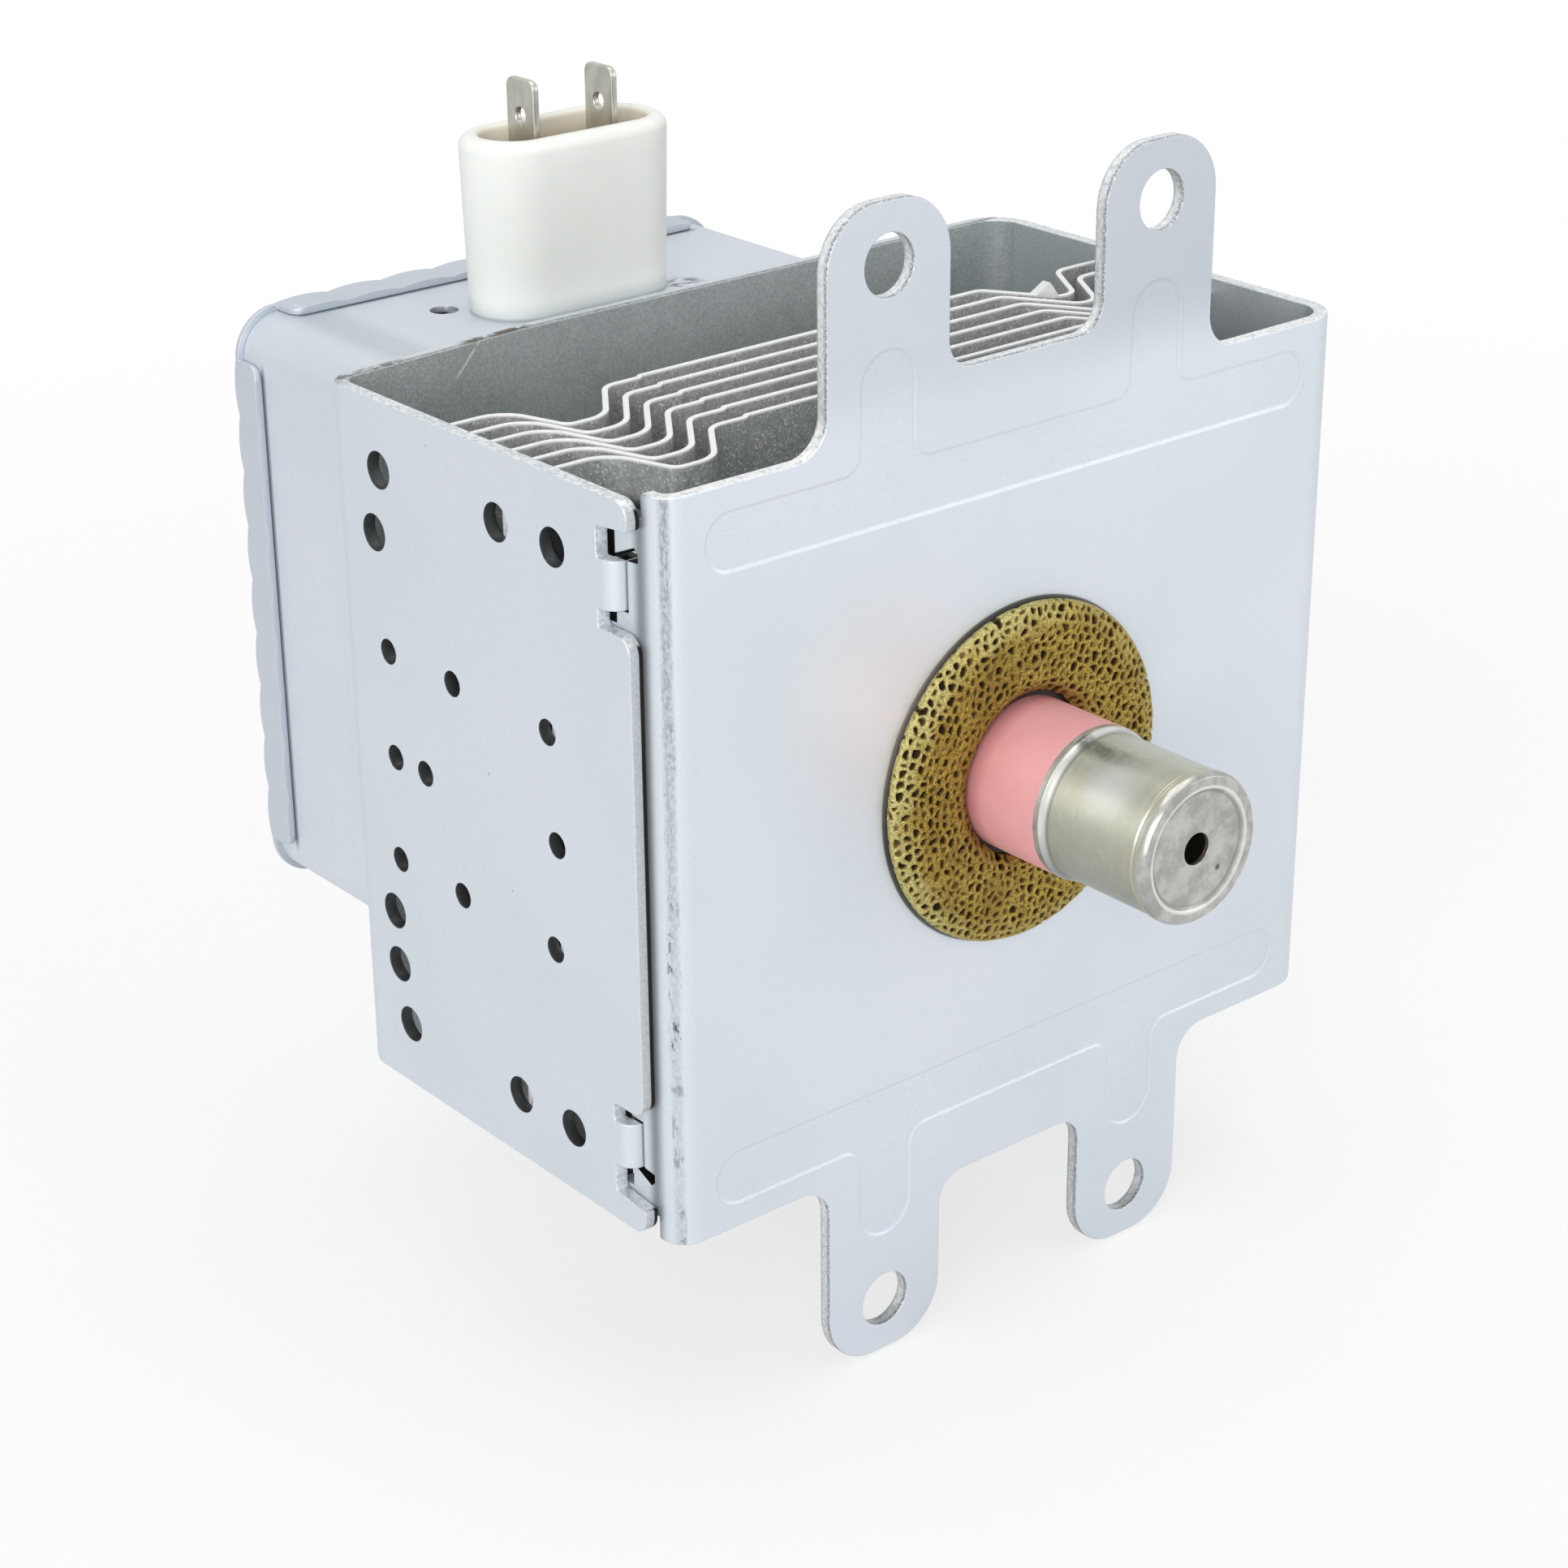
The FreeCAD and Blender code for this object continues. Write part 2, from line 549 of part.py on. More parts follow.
def yoke():
    """The folded strip: tucked flange, front plate, right wall, rear wall and left wall."""
    half = SHEET / 2
    flange_x = -HALF_WIDTH + SHEET + SEAM_GAP + half
    right_x = HALF_WIDTH - half
    rear_y = YOKE_DEPTH - half
    left_x = -HALF_WIDTH + half
    path = [
        (flange_x, TUCKED_FLANGE_END, 0),
        (flange_x, half, FRONT_LEFT_BEND_R - half),
        (right_x, half, RIGHT_BEND_R - half),
        (right_x, rear_y, RIGHT_BEND_R - half),
        (left_x, rear_y, REAR_LEFT_BEND_R - half),
        (left_x, YOKE_DEPTH - REAR_LEFT_BEND_R, 0),
    ]
    corners = [vec(x, y, -HALF_HEIGHT) for x, y, r in path]
    section = bent_sheet(corners, [r for x, y, r in path], SHEET, vec(0, 0, 1))
    strip = section.extrude(vec(0, 0, YOKE_HEIGHT))
    plate = plate_outline().extrude(vec(0, SHEET, 0))
    window = flange_window()
    strip = strip.cut(window).cut(mirrored(window, vec(0, 0, 1)))
    hook = tongue()
    body = joined([strip, plate, left_wall(), hook, mirrored(hook, vec(0, 0, 1))])

    # The left end of the strip is cut a little shorter, and the rear wall runs down to it.
    low = LEFT_WALL_TOP
    bend = -HALF_WIDTH + REAR_LEFT_BEND_R
    wedge = [(-HALF_WIDTH - 1, low), (bend, low), (bend + SHORT_WALL_TAPER, HALF_HEIGHT),
             (bend + SHORT_WALL_TAPER, HALF_HEIGHT + 1), (-HALF_WIDTH - 1, HALF_HEIGHT + 1)]
    start = YOKE_DEPTH - REAR_LEFT_BEND_R
    points = [vec(x, start, z) for x, z in wedge]
    trim = Part.Face(Part.makePolygon(points + points[:1])).extrude(vec(0, REAR_LEFT_BEND_R + 1, 0))

    # Behind the wall's corner the tucked flange is cut lower, so that it can't stand out above the wall.
    step = block(-HALF_WIDTH + SHEET + SEAM_GAP / 2, -HALF_WIDTH + 2 * SHEET + 2 * SEAM_GAP,
                 WALL_FRONT, TUCKED_FLANGE_END + 1, HALF_HEIGHT - TUCKED_FLANGE_DROP, HALF_HEIGHT + 1)

    # Each rib stands out behind the plate by as much as it sinks into the front.
    rib_back = rib_solid(SHEET, SHEET + RIB_DEPTH, RIB_DEPTH)
    rib_front = rib_solid(0, RIB_DEPTH, 0)
    tools = [trim, step, rib_front]
    tools += [mirrored(tool, vec(0, 0, 1)) for tool in tools]
    body = joined([body, rib_back, mirrored(rib_back, vec(0, 0, 1))])

    tools.append(rod(SEAL_NARROW_R + PLATE_HOLE_CLEARANCE, 0, SHEET))
    tools.append(rod(STEM_HOLE_R, REAR_INNER, YOKE_DEPTH))
    for x, z in RIVET_PLACES:
        tools.append(rod(RIVET_SHANK_R, REAR_INNER, YOKE_DEPTH, x, z))
    for x in (-MOUNT_SPACING_X / 2, MOUNT_SPACING_X / 2):
        for z in (-MOUNT_SPACING_Z / 2, MOUNT_SPACING_Z / 2):
            tools.append(rod(MOUNT_HOLE_R, 0, SHEET, x, z))
    return body.cut(Part.makeCompound(tools))


def ring_magnet(y0):
    body = ring(MAGNET_BORE_R, MAGNET_R, y0, y0 + MAGNET_THICKNESS)
    rims = [edge for edge in body.Edges
            if edge.Curve.TypeId == "Part::GeomCircle" and edge.Curve.Radius > MAGNET_BORE_R + 1]
    return body.makeChamfer(MAGNET_CHAMFER, rims)


def anode_cylinder():
    body = ring(ANODE_BORE_R, ANODE_R, ANODE_FRONT, ANODE_BACK)
    front_seat = rod(POLE_SEAT_R, ANODE_FRONT, ANODE_FRONT + POLE_THICKNESS)
    back_seat = rod(POLE_SEAT_R, ANODE_BACK - POLE_THICKNESS, ANODE_BACK)
    return body.cut(Part.makeCompound([front_seat, back_seat]))


def strap_slot(depths, front):
    """What is cut from a vane's end: a groove under each strap, to its own depth."""
    split = (INNER_STRAP_R + STRAP_WIDTH + OUTER_STRAP_R) / 2
    inner = INNER_STRAP_R - STRAP_CLEARANCE
    outer = OUTER_STRAP_R + STRAP_WIDTH + STRAP_CLEARANCE
    grooves = []
    for depth, r0, r1 in ((depths[0], inner, split), (depths[1], split, outer)):
        if front:
            grooves.append(ring(r0, r1, VANE_FRONT, VANE_FRONT + depth))
        else:
            grooves.append(ring(r0, r1, VANE_BACK - depth, VANE_BACK))
    return grooves


def anode_vanes():
    """Ten plates; neighbours carry opposite straps, so their groove depths swap."""
    touch = STRAP_TOP_DEPTH + STRAP_HEIGHT
    clear = touch + STRAP_CLEARANCE
    annulus = ring(VANE_TIP_R, ANODE_BORE_R, VANE_FRONT, VANE_BACK)
    vanes = []
    for i in range(VANE_COUNT):
        plate = block(-VANE_THICKNESS / 2, VANE_THICKNESS / 2, VANE_FRONT, VANE_BACK,
                      0, ANODE_BORE_R + 1)
        plate = plate.common(annulus)
        front = (touch, clear) if i % 2 else (clear, touch)
        back = (clear, touch) if i % 2 else (touch, clear)
        plate = plate.cut(Part.makeCompound(strap_slot(front, True) + strap_slot(back, False)))
        plate.rotate(vec(0, 0, 0), vec(0, 1, 0), 360 / VANE_COUNT * i)
        vanes.append(plate)
    return Part.makeCompound(vanes)


def strap_rings():
    rings = []
    front = VANE_FRONT + STRAP_TOP_DEPTH
    back = VANE_BACK - STRAP_TOP_DEPTH - STRAP_HEIGHT
    for radius in (INNER_STRAP_R, OUTER_STRAP_R):
        for start in (front, back):
            rings.append(ring(radius, radius + STRAP_WIDTH, start, start + STRAP_HEIGHT))
    return Part.makeCompound(rings)


def pole_piece(outer_face, inward):
    """A dished iron disc; inward is +1 for the front one and -1 for the rear one."""
    back = outer_face + inward * POLE_THICKNESS
    tip = back + inward * POLE_CONE_HEIGHT
    wall = POLE_CONE_BASE_R - POLE_CONE_TIP_R
    profile = [(POLE_SEAT_R, outer_face), (POLE_SEAT_R, back), (POLE_CONE_BASE_R, back),
               (POLE_CONE_TIP_R, tip), (POLE_HOLE_R, tip), (POLE_HOLE_R + wall, outer_face)]
    return turned(profile)


def front_pole_piece():
    body = pole_piece(ANODE_FRONT, 1)
    back = ANODE_FRONT + POLE_THICKNESS + BORE_OVERRUN
    hole = rod(LEAD_HOLE_R, ANODE_FRONT, back, 0, LEAD_HOLE_PLACE)
    return body.cut(hole)


def seal_cup(flange_face, away, narrow_r, end, lip_r):
    """A drawn cup: flange on the anode, wide skirt, cone, narrow neck and a lip."""
    wide = SEAL_WIDE_R
    wall = SEAL_WALL
    inner_face = flange_face + away * SEAL_FLANGE
    cone_start = flange_face + away * SEAL_SKIRT
    cone_end = cone_start + away * SEAL_CONE
    profile = [
        (ANODE_R, flange_face), (wide - wall, flange_face), (wide - wall, cone_start),
        (narrow_r - wall, cone_end), (narrow_r - wall, end - away * wall),
        (lip_r, end - away * wall), (lip_r, end), (narrow_r, end), (narrow_r, cone_end),
        (wide, cone_start), (wide, inner_face), (ANODE_R, inner_face),
    ]
    return turned(profile)


def antenna_ceramic():
    return ring(CERAMIC_BORE_R, CERAMIC_R, CERAMIC_FRONT, SEAL_FRONT)


def exhaust_seal():
    """The metal end of the ceramic: a disc with a rim that carries the cap."""
    face = CERAMIC_FRONT - CAP_WALL
    rim = CAP_R - CAP_WALL
    profile = [(EXHAUST_TUBE_R, CERAMIC_FRONT), (CERAMIC_R, CERAMIC_FRONT), (CERAMIC_R, face),
               (rim, face), (rim, face - EXHAUST_RIM), (rim - CAP_WALL, face - EXHAUST_RIM),
               (rim - CAP_WALL, face), (EXHAUST_TUBE_R, face)]
    return turned(profile)


def antenna_cap():
    """The pressed cap: rolled lip, straight wall, bead at the nose and a recessed face."""
    seat = CERAMIC_FRONT - CAP_WALL
    nose = CAP_FRONT
    inner = CAP_R - CAP_WALL
    floor = nose + CAP_RECESS + CAP_WALL
    bead = nose + CAP_BEAD_LENGTH
    groove_r = CAP_R - CAP_GROOVE_DEPTH
    groove = bead + CAP_GROOVE_SLOPE + CAP_GROOVE_WIDTH
    round_r = CAP_BEAD_ROUND
    profile = [
        (inner, seat), (CAP_LIP_R, seat), (CAP_LIP_R, seat - CAP_LIP_EDGE), (CAP_R, seat - CAP_FLARE),
        (CAP_R, groove + CAP_GROOVE_SLOPE), (groove_r, groove), (groove_r, bead + CAP_GROOVE_SLOPE),
        (CAP_BEAD_R, bead), (CAP_BEAD_R, nose + 2 * round_r), (CAP_BEAD_R - round_r / 3, nose + round_r),
        (CAP_BEAD_R - round_r, nose), (CAP_RECESS_R + CAP_RECESS, nose),
        (CAP_RECESS_R, nose + CAP_RECESS), (CAP_HOLE_R, nose + CAP_RECESS), (CAP_HOLE_R, floor),
        (inner - CAP_INNER_CORNER, floor), (inner, floor + CAP_INNER_CORNER),
    ]
    return turned(profile)


def exhaust_tube():
    """The copper pump-out tube, pinched flat in front of the antenna lead's end."""
    start = CERAMIC_FRONT + EXHAUST_ROOT
    neck = CAP_FRONT + PINCH_GAP
    flat = neck - PINCH_CONE
    tip = flat - PINCH_BLADE
    tube = rod(EXHAUST_TUBE_R, neck, start)
    tube = tube.cut(rod(EXHAUST_TUBE_R - EXHAUST_TUBE_WALL, neck, start))
    circle = Part.Wire(Part.makeCircle(EXHAUST_TUBE_R, vec(0, neck, 0), vec(0, 1, 0)))
    ellipse = Part.Ellipse(vec(0, flat, 0), PINCH_WIDTH / 2, PINCH_THICKNESS / 2)
    ellipse.rotate(FreeCAD.Placement(vec(0, 0, 0), FreeCAD.Rotation(vec(1, 0, 0), 90)))
    ellipse.Center = vec(0, flat, 0)
    squeezed = Part.Wire(ellipse.toShape())
    cone = Part.makeLoft([circle, squeezed], True, True)
    blade = Part.Face(squeezed).extrude(vec(0, tip - flat, 0))
    return joined([tube, cone, blade])


def antenna_lead():
    """From the top vane through the pole piece, then along the axis into the tube."""
    end = CAP_FRONT + PINCH_GAP
    bend = ANODE_FRONT + POLE_THICKNESS + LEAD_RISE
    corners = [vec(0, VANE_FRONT, LEAD_START_R), vec(0, bend, LEAD_START_R),
               vec(0, 2 * SHEET, 0), vec(0, end, 0)]
    return wire_along(corners, LEAD_BEND_R, LEAD_R)


def rf_gasket():
    """A flattened ring of knitted mesh round the seal's neck, resting on the plate."""
    inner = SEAL_NARROW_R
    back = 0.0
    top = -GASKET_THICKNESS
    edge = GASKET_EDGE
    profile = [(inner, back), (GASKET_R - edge, back), (GASKET_R, back - edge),
               (GASKET_R - edge / 2, top + 1.5 * edge), (GASKET_R - GASKET_SHOULDER, top + edge / 2),
               (GASKET_R - GASKET_CROWN, top), (inner + GASKET_DISH, top),
               (inner + edge, top + GASKET_DISH_DROP / 3), (inner, top + GASKET_DISH_DROP)]
    return turned(profile)


def filament():
    """A tungsten helix between the two end hats."""
    length = VANE_LENGTH + 2 * HAT_GAP
    pitch = (length - 2 * FILAMENT_WIRE_R) / FILAMENT_TURNS
    spine = Part.makeHelix(pitch, pitch * FILAMENT_TURNS, FILAMENT_R)
    corners = [vec(FILAMENT_R + FILAMENT_WIRE_R * math.cos(k * math.pi / 3), 0,
                   FILAMENT_WIRE_R * math.sin(k * math.pi / 3)) for k in range(6)]
    section = Part.makePolygon(corners + corners[:1])
    coil = Part.Wire(spine).makePipeShell([section], True, True)
    coil.rotate(vec(0, 0, 0), vec(1, 0, 0), -90)
    coil.translate(vec(0, VANE_FRONT - HAT_GAP + FILAMENT_WIRE_R, 0))
    return coil


def front_hat():
    face = VANE_FRONT - HAT_GAP
    return rod(HAT_R, face - HAT_THICKNESS, face)


def rear_hat():
    """The rear hat is open in the middle so that the centre lead passes through."""
    face = VANE_BACK + HAT_GAP
    return ring(CATHODE_LEAD_R + HAT_HOLE_CLEARANCE, HAT_R, face, face + HAT_THICKNESS)


def lead_end():
    """How far back both cathode leads reach, inside the filter box."""
    return YOKE_DEPTH + BOX_SHEET + SEAL_WALL + STEM_CERAMIC_LENGTH + LEAD_TAIL


def centre_lead():
    return rod(CATHODE_LEAD_R, VANE_FRONT - HAT_GAP, lead_end())


def side_lead():
    start = VANE_BACK + HAT_GAP + HAT_THICKNESS
    return rod(CATHODE_LEAD_R, start, lead_end(), 0, -SIDE_LEAD_OFFSET)


def stem_ceramic():
    start = YOKE_DEPTH + BOX_SHEET + SEAL_WALL
    body = rod(STEM_CERAMIC_R, start, start + STEM_CERAMIC_LENGTH)
    for z in (0, -SIDE_LEAD_OFFSET):
        body = body.cut(rod(CATHODE_LEAD_R, start, start + STEM_CERAMIC_LENGTH, 0, z))
    return body


def stem_gasket():
    return ring(STEM_SEAL_R, STEM_HOLE_R, REAR_INNER, YOKE_DEPTH)


def wave_corners(runs, bends, depth):
    """A wave's corners from the wall inward: distance from the middle, depth and bend."""
    x = WALL_INSIDE
    corners = [(x, 0, 0)]
    for run, bend, drop in zip(runs, bends, (0, depth, depth, 0)):
        x -= run
        corners.append((x, drop, bend))
    return corners


def fin_path():
    """A fin's plan from the left wall to the right one."""
    left = wave_corners(LEFT_WAVE_RUNS, LEFT_WAVE_BENDS, LEFT_WAVE_DEPTH)
    right = wave_corners(RIGHT_WAVE_RUNS, RIGHT_WAVE_BENDS, RIGHT_WAVE_DEPTH)
    path = [(-x, -max(drop, STEP_DEPTH), bend) for x, drop, bend in left]
    step = STEP_GAP - left[-1][0]
    path += [(step, -STEP_DEPTH, STEP_BEND_R), (step + STEP_RUN, 0, STEP_BEND_R)]
    return path + [(x, -drop, bend) for x, drop, bend in reversed(right)]


def torn_burr(section, top):
    """A small triangle of the same sheet that was torn up beside the last fin's right valley."""
    x = WALL_INSIDE - sum(RIGHT_WAVE_RUNS[:3]) - BURR_INSET
    y = section.BoundBox.YMin
    corners = [vec(x - BURR_WIDTH / 2, y, top), vec(x + BURR_WIDTH / 2, y, top),
               vec(x, y, top + BURR_HEIGHT)]
    face = Part.Face(Part.makePolygon(corners + corners[:1]))
    prism = face.extrude(vec(0, section.BoundBox.YLength, 0))
    sheet = section.copy()
    sheet.translate(vec(0, 0, 2 * top))
    return sheet.extrude(vec(0, 0, BURR_HEIGHT)).common(prism)


def cooling_fin(index):
    """A waved sheet with a collar pressed onto the anode."""
    middle = ANODE_MIDDLE + (index - (FIN_COUNT - 1) / 2) * FIN_PITCH
    top = HALF_HEIGHT - FIN_SETBACK
    path = fin_path()
    corners = [vec(x, middle + y, -top) for x, y, r in path]
    section = bent_sheet(corners, [r for x, y, r in path], FIN_THICKNESS, vec(0, 0, 1))
    pieces = [section.extrude(vec(0, 0, 2 * top))]
    if index == FIN_COUNT - 1:
        pieces.append(torn_burr(section, top))
    back = middle + FIN_THICKNESS / 2
    pieces.append(rod(ANODE_R + FIN_THICKNESS, back, back + FIN_COLLAR))
    bore = rod(ANODE_R, middle - FIN_THICKNESS - STEP_DEPTH, back + FIN_COLLAR)
    return joined(pieces).cut(bore)


def box_outline(grow, y):
    """The filter box's rounded rectangle, moved outward by grow."""
    x0 = BOX_LEFT - grow
    x1 = BOX_RIGHT + grow
    z0 = BOX_BOTTOM - grow
    z1 = BOX_TOP + grow
    corners = [vec(x0, y, z0), vec(x1, y, z0), vec(x1, y, z1), vec(x0, y, z1)]
    return outline(corners, [BOX_CORNER_R + grow] * 4)


def filter_box():
    """A drawn box, open at the back, with holes for the stem, capacitor and rivets."""
    shell = box_outline(0, YOKE_DEPTH).extrude(vec(0, BOX_DEPTH, 0))
    hollow = box_outline(-BOX_SHEET, YOKE_DEPTH + BOX_SHEET).extrude(vec(0, BOX_DEPTH, 0))
    tools = [hollow, rod(STEM_SEAL_R + BOX_HOLE_CLEARANCE, YOKE_DEPTH, YOKE_DEPTH + BOX_SHEET)]
    tools.append(racetrack_block(SHROUD_FOOT_R - SPIGOT_INSET, SHROUD_STRAIGHT,
                                 BOX_TOP - BOX_SHEET, BOX_TOP))
    vent_y = YOKE_DEPTH + BOX_DEPTH / 2
    tools.append(Part.makeCylinder(VENT_R, BOX_SHEET, vec(VENT_X, vent_y, BOX_TOP - BOX_SHEET)))
    for x, z in RIVET_PLACES:
        tools.append(rod(RIVET_SHANK_R, YOKE_DEPTH, YOKE_DEPTH + BOX_SHEET, x, z))
    return shell.cut(Part.makeCompound(tools))


def scalloped_edge(start, end, outward):
    """Arcs in a row from start to end, each bowed outward."""
    span = end - start
    count = max(1, round(span.Length / SCALLOP_PITCH))
    edges = []
    for i in range(count):
        a = start + span * (i / count)
        b = start + span * ((i + 1) / count)
        middle = (a + b) * 0.5 + outward * SCALLOP_RISE
        edges.append(Part.Arc(a, middle, b).toShape())
    return edges


def skirt_sides(y):
    """Start, end and outward direction of each side's straight stretch, at the lid's edge."""
    grow = LID_GAP + LID_SHEET
    r = BOX_CORNER_R
    x0 = BOX_LEFT - grow
    x1 = BOX_RIGHT + grow
    z0 = BOX_BOTTOM - grow
    z1 = BOX_TOP + grow
    return [
        (vec(BOX_LEFT + r, y, z0), vec(BOX_RIGHT - r, y, z0), vec(0, 0, -1)),
        (vec(x1, y, BOX_BOTTOM + r), vec(x1, y, BOX_TOP - r), vec(1, 0, 0)),
        (vec(BOX_RIGHT - r, y, z1), vec(BOX_LEFT + r, y, z1), vec(0, 0, 1)),
        (vec(x0, y, BOX_TOP - r), vec(x0, y, BOX_BOTTOM + r), vec(-1, 0, 0)),
    ]


def filter_lid():
    """A flat lid with four separate skirts crimped over the box in small scallops."""
    face_y = BOX_BACK
    sides = skirt_sides(face_y)
    edges = []
    for i, (start, end, outward) in enumerate(sides):
        edges += scalloped_edge(start, end, outward)
        next_start, next_end, next_outward = sides[(i + 1) % 4]
        reach = BOX_CORNER_R + LID_GAP + LID_SHEET
        centre = end - outward * reach
        middle = centre + (outward + next_outward).normalize() * reach
        edges.append(Part.Arc(end, middle, next_start).toShape())
    plate = Part.Face(Part.Wire(edges)).extrude(vec(0, LID_SHEET, 0))
    pieces = [plate]
    for start, end, outward in skirt_sides(face_y):
        inner_start = start - outward * LID_SHEET
        inner_end = end - outward * LID_SHEET
        rim = scalloped_edge(start, end, outward)
        rim.append(Part.LineSegment(end, inner_end).toShape())
        rim.append(Part.LineSegment(inner_end, inner_start).toShape())
        rim.append(Part.LineSegment(inner_start, start).toShape())
        skirt = Part.Face(Part.Wire(rim)).extrude(vec(0, -LID_SKIRT, 0))
        front = vec(0, -LID_SKIRT, 0)
        corners = [inner_start, inner_end, inner_end + front, inner_start + front]
        mask = outline(corners, [0, 0, SKIRT_CORNER_R, SKIRT_CORNER_R])
        mask = mask.extrude(outward * (LID_SHEET + SCALLOP_RISE))
        pieces.append(skirt.common(mask))
    return joined(pieces)


def rivets():
    """Rivets that hold the filter box against the back of the yoke."""
    crown_r = RIVET_HEAD_R - RIVET_HEAD_SLOPE
    front = REAR_INNER - RIVET_HEAD_HEIGHT
    profile = [
        (0, front), (crown_r, front), (RIVET_HEAD_R, REAR_INNER - RIVET_HEAD_EDGE),
        (RIVET_HEAD_R, REAR_INNER), (RIVET_SHANK_R, REAR_INNER),
    ]
    back = YOKE_DEPTH + BOX_SHEET
    profile += [(RIVET_SHANK_R, back), (RIVET_HEAD_R, back), (RIVET_HEAD_R, back + RIVET_HEAD_EDGE),
                (crown_r, back + RIVET_HEAD_HEIGHT), (0, back + RIVET_HEAD_HEIGHT)]
    one = turned(profile)
    solids = []
    for x, z in RIVET_PLACES:
        copy = one.copy()
        copy.translate(vec(x, 0, z))
        solids.append(copy)
    return Part.makeCompound(solids)


def inner_edges(edges):
    """Of two nested loops of edges, those of the inner one."""
    reach = SHROUD_RIM_R - SHROUD_WALL + 0.1
    return [edge for edge in edges
            if abs(edge.CenterOfMass.y - BLOCK_Y) < reach
            and abs(edge.CenterOfMass.x - BLOCK_X) < SHROUD_STRAIGHT / 2 + reach]


def terminal_shroud():
    """The white collar: a tapered racetrack with a deep cavity and slots for the tabs."""
    foot = BOX_TOP
    rim = foot + SHROUD_HEIGHT
    outer = tapered_racetrack(SHROUD_FOOT_R, SHROUD_RIM_R, SHROUD_STRAIGHT, foot, rim)
    lips = [edge for edge in outer.Edges if min(v.Point.z for v in edge.Vertexes) > rim - 0.01]
    outer = outer.makeFillet(SHROUD_LIP, lips)
    spigot = racetrack_block(SHROUD_FOOT_R - SPIGOT_INSET, SHROUD_STRAIGHT,
                             foot - 2 * BOX_SHEET, foot)
    cavity = racetrack_block(SHROUD_RIM_R - SHROUD_WALL, SHROUD_STRAIGHT,
                             foot + SHROUD_FLOOR, rim)
    body = joined([outer, spigot]).cut(cavity)
    mouths = [edge for edge in body.Edges if min(v.Point.z for v in edge.Vertexes) > rim - 0.01]
    body = body.makeFillet(SHROUD_INNER_LIP, inner_edges(mouths))
    return body.cut(Part.makeCompound([tab_slot(-1), tab_slot(1)]))


def tab_slot(side):
    x = BLOCK_X + side * TAB_SPACING / 2
    return block(x - TAB_THICKNESS / 2, x + TAB_THICKNESS / 2, BLOCK_Y - TAB_WIDTH / 2,
                 BLOCK_Y + TAB_WIDTH / 2, BOX_TOP - 2 * BOX_SHEET - CAPACITOR_BODY_LENGTH,
                 BOX_TOP + SHROUD_FLOOR)


def tab_bottom():
    return BOX_TOP - 2 * BOX_SHEET - CAPACITOR_BODY_LENGTH - TAB_TAIL


def terminal_tab(side):
    """A flat push-on tab that runs down through the capacitor to the choke's wire."""
    x = BLOCK_X + side * TAB_SPACING / 2 - TAB_THICKNESS / 2
    top = BOX_TOP + SHROUD_HEIGHT + TAB_STANDOUT
    bottom = tab_bottom()
    y0 = BLOCK_Y - TAB_WIDTH / 2
    y1 = BLOCK_Y + TAB_WIDTH / 2
    corners = [vec(x, y0, bottom), vec(x, y1, bottom), vec(x, y1, top), vec(x, y0, top)]
    blade = outline(corners, [0, 0, TAB_CORNER, TAB_CORNER]).extrude(vec(TAB_THICKNESS, 0, 0))
    hole = Part.makeCylinder(TAB_HOLE_R, TAB_THICKNESS, vec(x, BLOCK_Y, top - TAB_HOLE_DROP),
                             vec(1, 0, 0))
    return blade.cut(hole)


def capacitor_flange():
    """The earthed plate under the box's top wall, soldered round the capacitor."""
    half_x = SHROUD_STRAIGHT / 2 + SHROUD_FOOT_R + FLANGE_PLATE_OVERHANG
    y0 = YOKE_DEPTH + BOX_SHEET
    y1 = 2 * BLOCK_Y - y0
    z = BOX_TOP - 2 * BOX_SHEET
    corners = [vec(BLOCK_X - half_x, y0, z), vec(BLOCK_X + half_x, y0, z),
               vec(BLOCK_X + half_x, y1, z), vec(BLOCK_X - half_x, y1, z)]
    plate = outline(corners, [FLANGE_PLATE_CORNER_R] * 4).extrude(vec(0, 0, BOX_SHEET))
    hole = racetrack_block(SHROUD_FOOT_R - SPIGOT_INSET, SHROUD_STRAIGHT, z, z + BOX_SHEET)
    return plate.cut(hole)


def capacitor_body():
    top = BOX_TOP - 2 * BOX_SHEET
    body = racetrack_block(CAPACITOR_BODY_R, SHROUD_STRAIGHT, top - CAPACITOR_BODY_LENGTH, top)
    return body.cut(Part.makeCompound([tab_slot(-1), tab_slot(1)]))


def tail_plane():
    """The plane of the chokes' wires, behind the stem and across both cathode leads."""
    return lead_end() - LEAD_TAIL / 2


def choke_y():
    """Both chokes lie ahead of their wires, so that a tail leaves each at its back."""
    return tail_plane() - CORE_R - WIRE_R + TAIL_INSET


def choke_core(x):
    z = CHOKE_LOW_Z - CORE_OVERHANG
    length = COIL_LENGTH + 2 * CORE_OVERHANG
    return Part.makeCylinder(CORE_R, length, vec(x, choke_y(), z))


def choke_winding(x, upper_tail, lower_tail):
    """The close-wound wire as one sleeve on the core, with its two bent tails."""
    y = choke_y()
    outer = Part.makeCylinder(CORE_R + 2 * WIRE_R, COIL_LENGTH, vec(x, y, CHOKE_LOW_Z))
    tail_y = y + CORE_R + WIRE_R - TAIL_INSET
    start = CHOKE_LOW_Z + COIL_LENGTH - 2 * WIRE_R
    upper = [vec(x, tail_y, start)] + upper_tail
    lower = [vec(x, tail_y, CHOKE_LOW_Z + 2 * WIRE_R)] + lower_tail
    tails = [wire_along(corners, WIRE_BEND_R, WIRE_R) for corners in (upper, lower)]
    return joined([outer] + tails).cut(choke_core(x))


